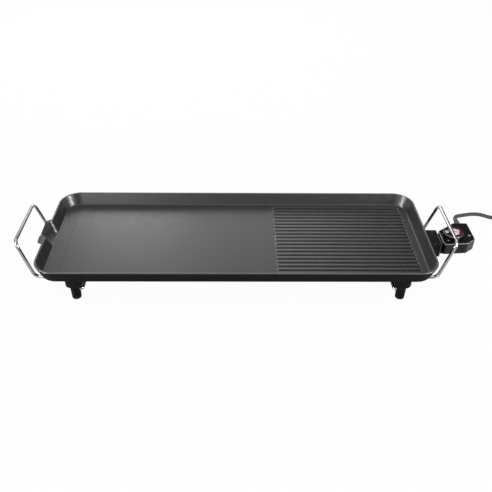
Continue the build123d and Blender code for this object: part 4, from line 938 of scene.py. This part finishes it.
class GRIDDLE_OT_control_case(Operator):
    """Mould the control plug's case, with its index dot, contacts and probe"""

    bl_idname = "griddle.control_case"
    bl_label = "Control Case"

    def execute(self, context):
        settings = context.scene.griddle_control
        colours = (settings.case_dark, settings.case_light)
        gloss = moulded_black("moulded_case_gloss", colours, roughness=(0.2, 0.3), specular=0.4)
        # The case's rounded edges get a light grey: a painted highlight
        edge_highlight = moulded_black(
            "painted_highlight_case_edge", pair("#8a8a8c", "#a2a2a4"), roughness=(0.2, 0.3), specular=0.5)

        def choose(face):
            return 1 if CASE_EDGE[0] < face.normal.z < CASE_EDGE[1] else 0

        smooth_copy(
            "control_upper_case", "moulded_upper_case", [gloss, edge_highlight], choose)
        smooth_copy("control_lower_case", "moulded_lower_case", [gloss])
        brass = bare_metal("bright_brass", pair("#b4924c", "#c9a962"), (0.2, 0.32))
        steel = bare_metal("stainless_probe", pair("#a8a9ac", "#bfc0c3"), (0.22, 0.34))
        dress(brass, "contact_sleeves", "earth_sleeve")
        dress(steel, "temperature_probe", "case_screws")
        self.index_dot(settings)
        return {"FINISHED"}

    def index_dot(self, settings):
        """A thin dot of pad-printed ink on the case: pale grey and slightly rough."""
        material, tree, shader, place = start_finish("index_print", {"IOR": 1.5, "Specular IOR Level": 0.4})
        grain(
            tree, shader, place, pair("#a9a9a9", "#c0c0c0"),
            grain_mm=0.3, mottle_mm=1.5, depth_mm=0.004, roughness=(0.35, 0.5))
        shape = bmesh.new()
        bmesh.ops.create_cone(
            shape, cap_ends=True, segments=24, radius1=settings.index_radius, radius2=settings.index_radius,
            depth=INDEX_HEIGHT)
        middle = Vector(settings.index_spot) + Vector((0, 0, INDEX_HEIGHT / 2 - INDEX_SINK))
        bmesh.ops.translate(shape, verts=shape.verts, vec=middle)
        bmesh.ops.recalc_face_normals(shape, faces=shape.faces)
        mesh = bpy.data.meshes.new("index_dot")
        shape.to_mesh(mesh)
        shape.free()
        put("index_dot", mesh, "control_plug", [material])


class GRIDDLE_OT_dial(Operator):
    """Mould the dial, with its printed temperature marks, and finish its spindle"""

    bl_idname = "griddle.dial"
    bl_label = "Dial"

    def execute(self, context):
        settings = context.scene.griddle_control
        black = self.printed_black(settings)
        # The dial's rounded edge gets a mid grey: a painted highlight
        edge = moulded_black(
            "painted_highlight_dial_edge", pair("#5c5c5e", "#747476"), roughness=(0.2, 0.3), specular=0.5)

        def choose(face):
            return 1 if DIAL_EDGE[0] < face.normal.z < DIAL_EDGE[1] else 0

        smooth_copy("dial_knob", "printed_dial", [black, edge], choose)
        dress(bare_metal("turned_steel", pair("#9fa0a3", "#b6b7ba"), (0.22, 0.34)), "dial_spindle")
        return {"FINISHED"}

    def printed_black(self, settings):
        """Glossy black plastic with a pad-printed light sector and red marks at its hot end."""
        material, tree, shader, place = start_finish(
            "printed_dial_black", {"IOR": 1.5, "Specular IOR Level": 0.35})
        tint = grain(
            tree, shader, place, pair("#101011", "#18181a"),
            grain_mm=0.8, mottle_mm=12.0, depth_mm=0.01, roughness=(0.2, 0.3))[0]
        about = add_node(
            tree, "ShaderNodeVectorMath",
            settings={"operation": "SUBTRACT"},
            values={1: settings.dial_middle},
            links={0: place},
        )
        parts = add_node(tree, "ShaderNodeSeparateXYZ", links={0: about.outputs[0]})
        along, back, height = parts.outputs
        flat = add_node(tree, "ShaderNodeCombineXYZ", links={"X": along, "Y": back})
        reach = add_node(
            tree, "ShaderNodeVectorMath",
            settings={"operation": "LENGTH"},
            links={0: flat.outputs[0]},
        ).outputs["Value"]
        turn = add_node(
            tree, "ShaderNodeMath",
            settings={"operation": "ARCTAN2"},
            links={0: back, 1: along},
        )
        swing = add_node(
            tree, "ShaderNodeMath",
            settings={"operation": "ABSOLUTE"},
            links={0: turn.outputs[0]},
        ).outputs[0]

        def printed(under, ink, *limits):
            """Lay one ink over a colour where every value lies between its two limits."""
            mask = None
            for value, low, high in limits:
                for operation, limit in (("GREATER_THAN", low), ("LESS_THAN", high)):
                    test = add_node(
                        tree, "ShaderNodeMath",
                        settings={"operation": operation},
                        values={1: limit},
                        links={0: value},
                    ).outputs[0]
                    if mask is None:
                        mask = test
                        continue
                    mask = add_node(
                        tree, "ShaderNodeMath",
                        settings={"operation": "MULTIPLY"},
                        links={0: mask, 1: test},
                    ).outputs[0]
            return add_node(
                tree, "ShaderNodeMix",
                settings={"data_type": "RGBA"},
                values={7: ink},
                links={0: mask, 6: under},
            ).outputs[2]

        on_top = (height, 5.5 * MM, 20 * MM)
        light = printed(
            tint, settings.print_white, on_top, (reach, 0, 9.5 * MM), (along, -2 * MM, 9 * MM))
        hot = printed(
            light, settings.print_red, on_top, (reach, 9.5 * MM, 13.5 * MM), (swing, *HOT_MARKS))
        cool = printed(
            hot, settings.print_white, on_top, (reach, 9 * MM, 14 * MM), (swing, *OFF_MARK))
        tree.links.new(cool, shader.inputs["Base Color"])
        return material


class GRIDDLE_OT_pilot(Operator):
    """Finish the pilot window and the lamp under it"""

    bl_idname = "griddle.pilot"
    bl_label = "Pilot Lamp"

    def execute(self, context):
        dress(clear_window("clear_pilot_window", pair("#c9c9c6", "#d8d8d5")), "pilot_lens")
        dress(clear_window("neon_lamp_glass", pair("#d08a6a", "#d99b7c")), "pilot_lamp")
        return {"FINISHED"}


class GRIDDLE_OT_thermostat(Operator):
    """Finish the thermostat works inside the control plug"""

    bl_idname = "griddle.thermostat"
    bl_label = "Thermostat Works"

    def execute(self, context):
        steel = bare_metal("stamped_steel_frame", pair("#a3a4a6", "#b7b8bb"), (0.3, 0.42))
        brass = bare_metal("turned_brass_bush", pair("#b4924c", "#c9a962"), (0.2, 0.32))
        bronze = bare_metal("spring_bronze", pair("#a97f58", "#bf9670"), (0.24, 0.36))
        dress(steel, "thermostat_frame")
        dress(brass, "spindle_bush")
        dress(white_ceramic(pair("#d9d3c6", "#e6e1d6")), "contact_insulators")
        dress(bronze, "contact_leaf_lower", "contact_leaf_upper")
        return {"FINISHED"}


class GRIDDLE_PT_panel(Panel):
    """The griddle's pieces and settings"""

    bl_idname = "GRIDDLE_PT_panel"
    bl_label = "Electric Griddle"
    bl_space_type = "VIEW_3D"
    bl_region_type = "UI"
    bl_category = "Griddle"

    def draw(self, context):
        for kind in PIECES:
            self.layout.operator(kind.bl_idname)
        for group in SETTINGS:
            box = self.layout.box()
            settings = getattr(context.scene, group)
            for name in settings.bl_rna.properties.keys():
                if name not in ("rna_type", "name"):
                    box.prop(settings, name)


SETTINGS = {
    "griddle_stage": GriddleStageSettings,
    "griddle_plate": GriddlePlateSettings,
    "griddle_stand": GriddleStandSettings,
    "griddle_cord": GriddleCordSettings,
    "griddle_control": GriddleControlSettings,
}
PIECES = (
    GRIDDLE_OT_stage,
    GRIDDLE_OT_cord,
    GRIDDLE_OT_plate,
    GRIDDLE_OT_handles,
    GRIDDLE_OT_feet,
    GRIDDLE_OT_element,
    GRIDDLE_OT_socket,
    GRIDDLE_OT_control_case,
    GRIDDLE_OT_dial,
    GRIDDLE_OT_pilot,
    GRIDDLE_OT_thermostat,
)


def register():
    for name, kind in SETTINGS.items():
        bpy.utils.register_class(kind)
        setattr(bpy.types.Scene, name, PointerProperty(type=kind))
    for kind in PIECES:
        bpy.utils.register_class(kind)
    bpy.utils.register_class(GRIDDLE_PT_panel)


def unregister():
    bpy.utils.unregister_class(GRIDDLE_PT_panel)
    for kind in reversed(PIECES):
        bpy.utils.unregister_class(kind)
    for name, kind in reversed(SETTINGS.items()):
        delattr(bpy.types.Scene, name)
        bpy.utils.unregister_class(kind)


def main():
    register()
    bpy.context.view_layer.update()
    bpy.ops.griddle.stage()
    bpy.ops.griddle.cord()
    bpy.ops.griddle.plate()
    bpy.ops.griddle.handles()
    bpy.ops.griddle.feet()
    bpy.ops.griddle.element()
    bpy.ops.griddle.socket()
    bpy.ops.griddle.control_case()
    bpy.ops.griddle.dial()
    bpy.ops.griddle.pilot()
    bpy.ops.griddle.thermostat()
    bpy.context.view_layer.update()


if __name__ == "__main__":
    main()
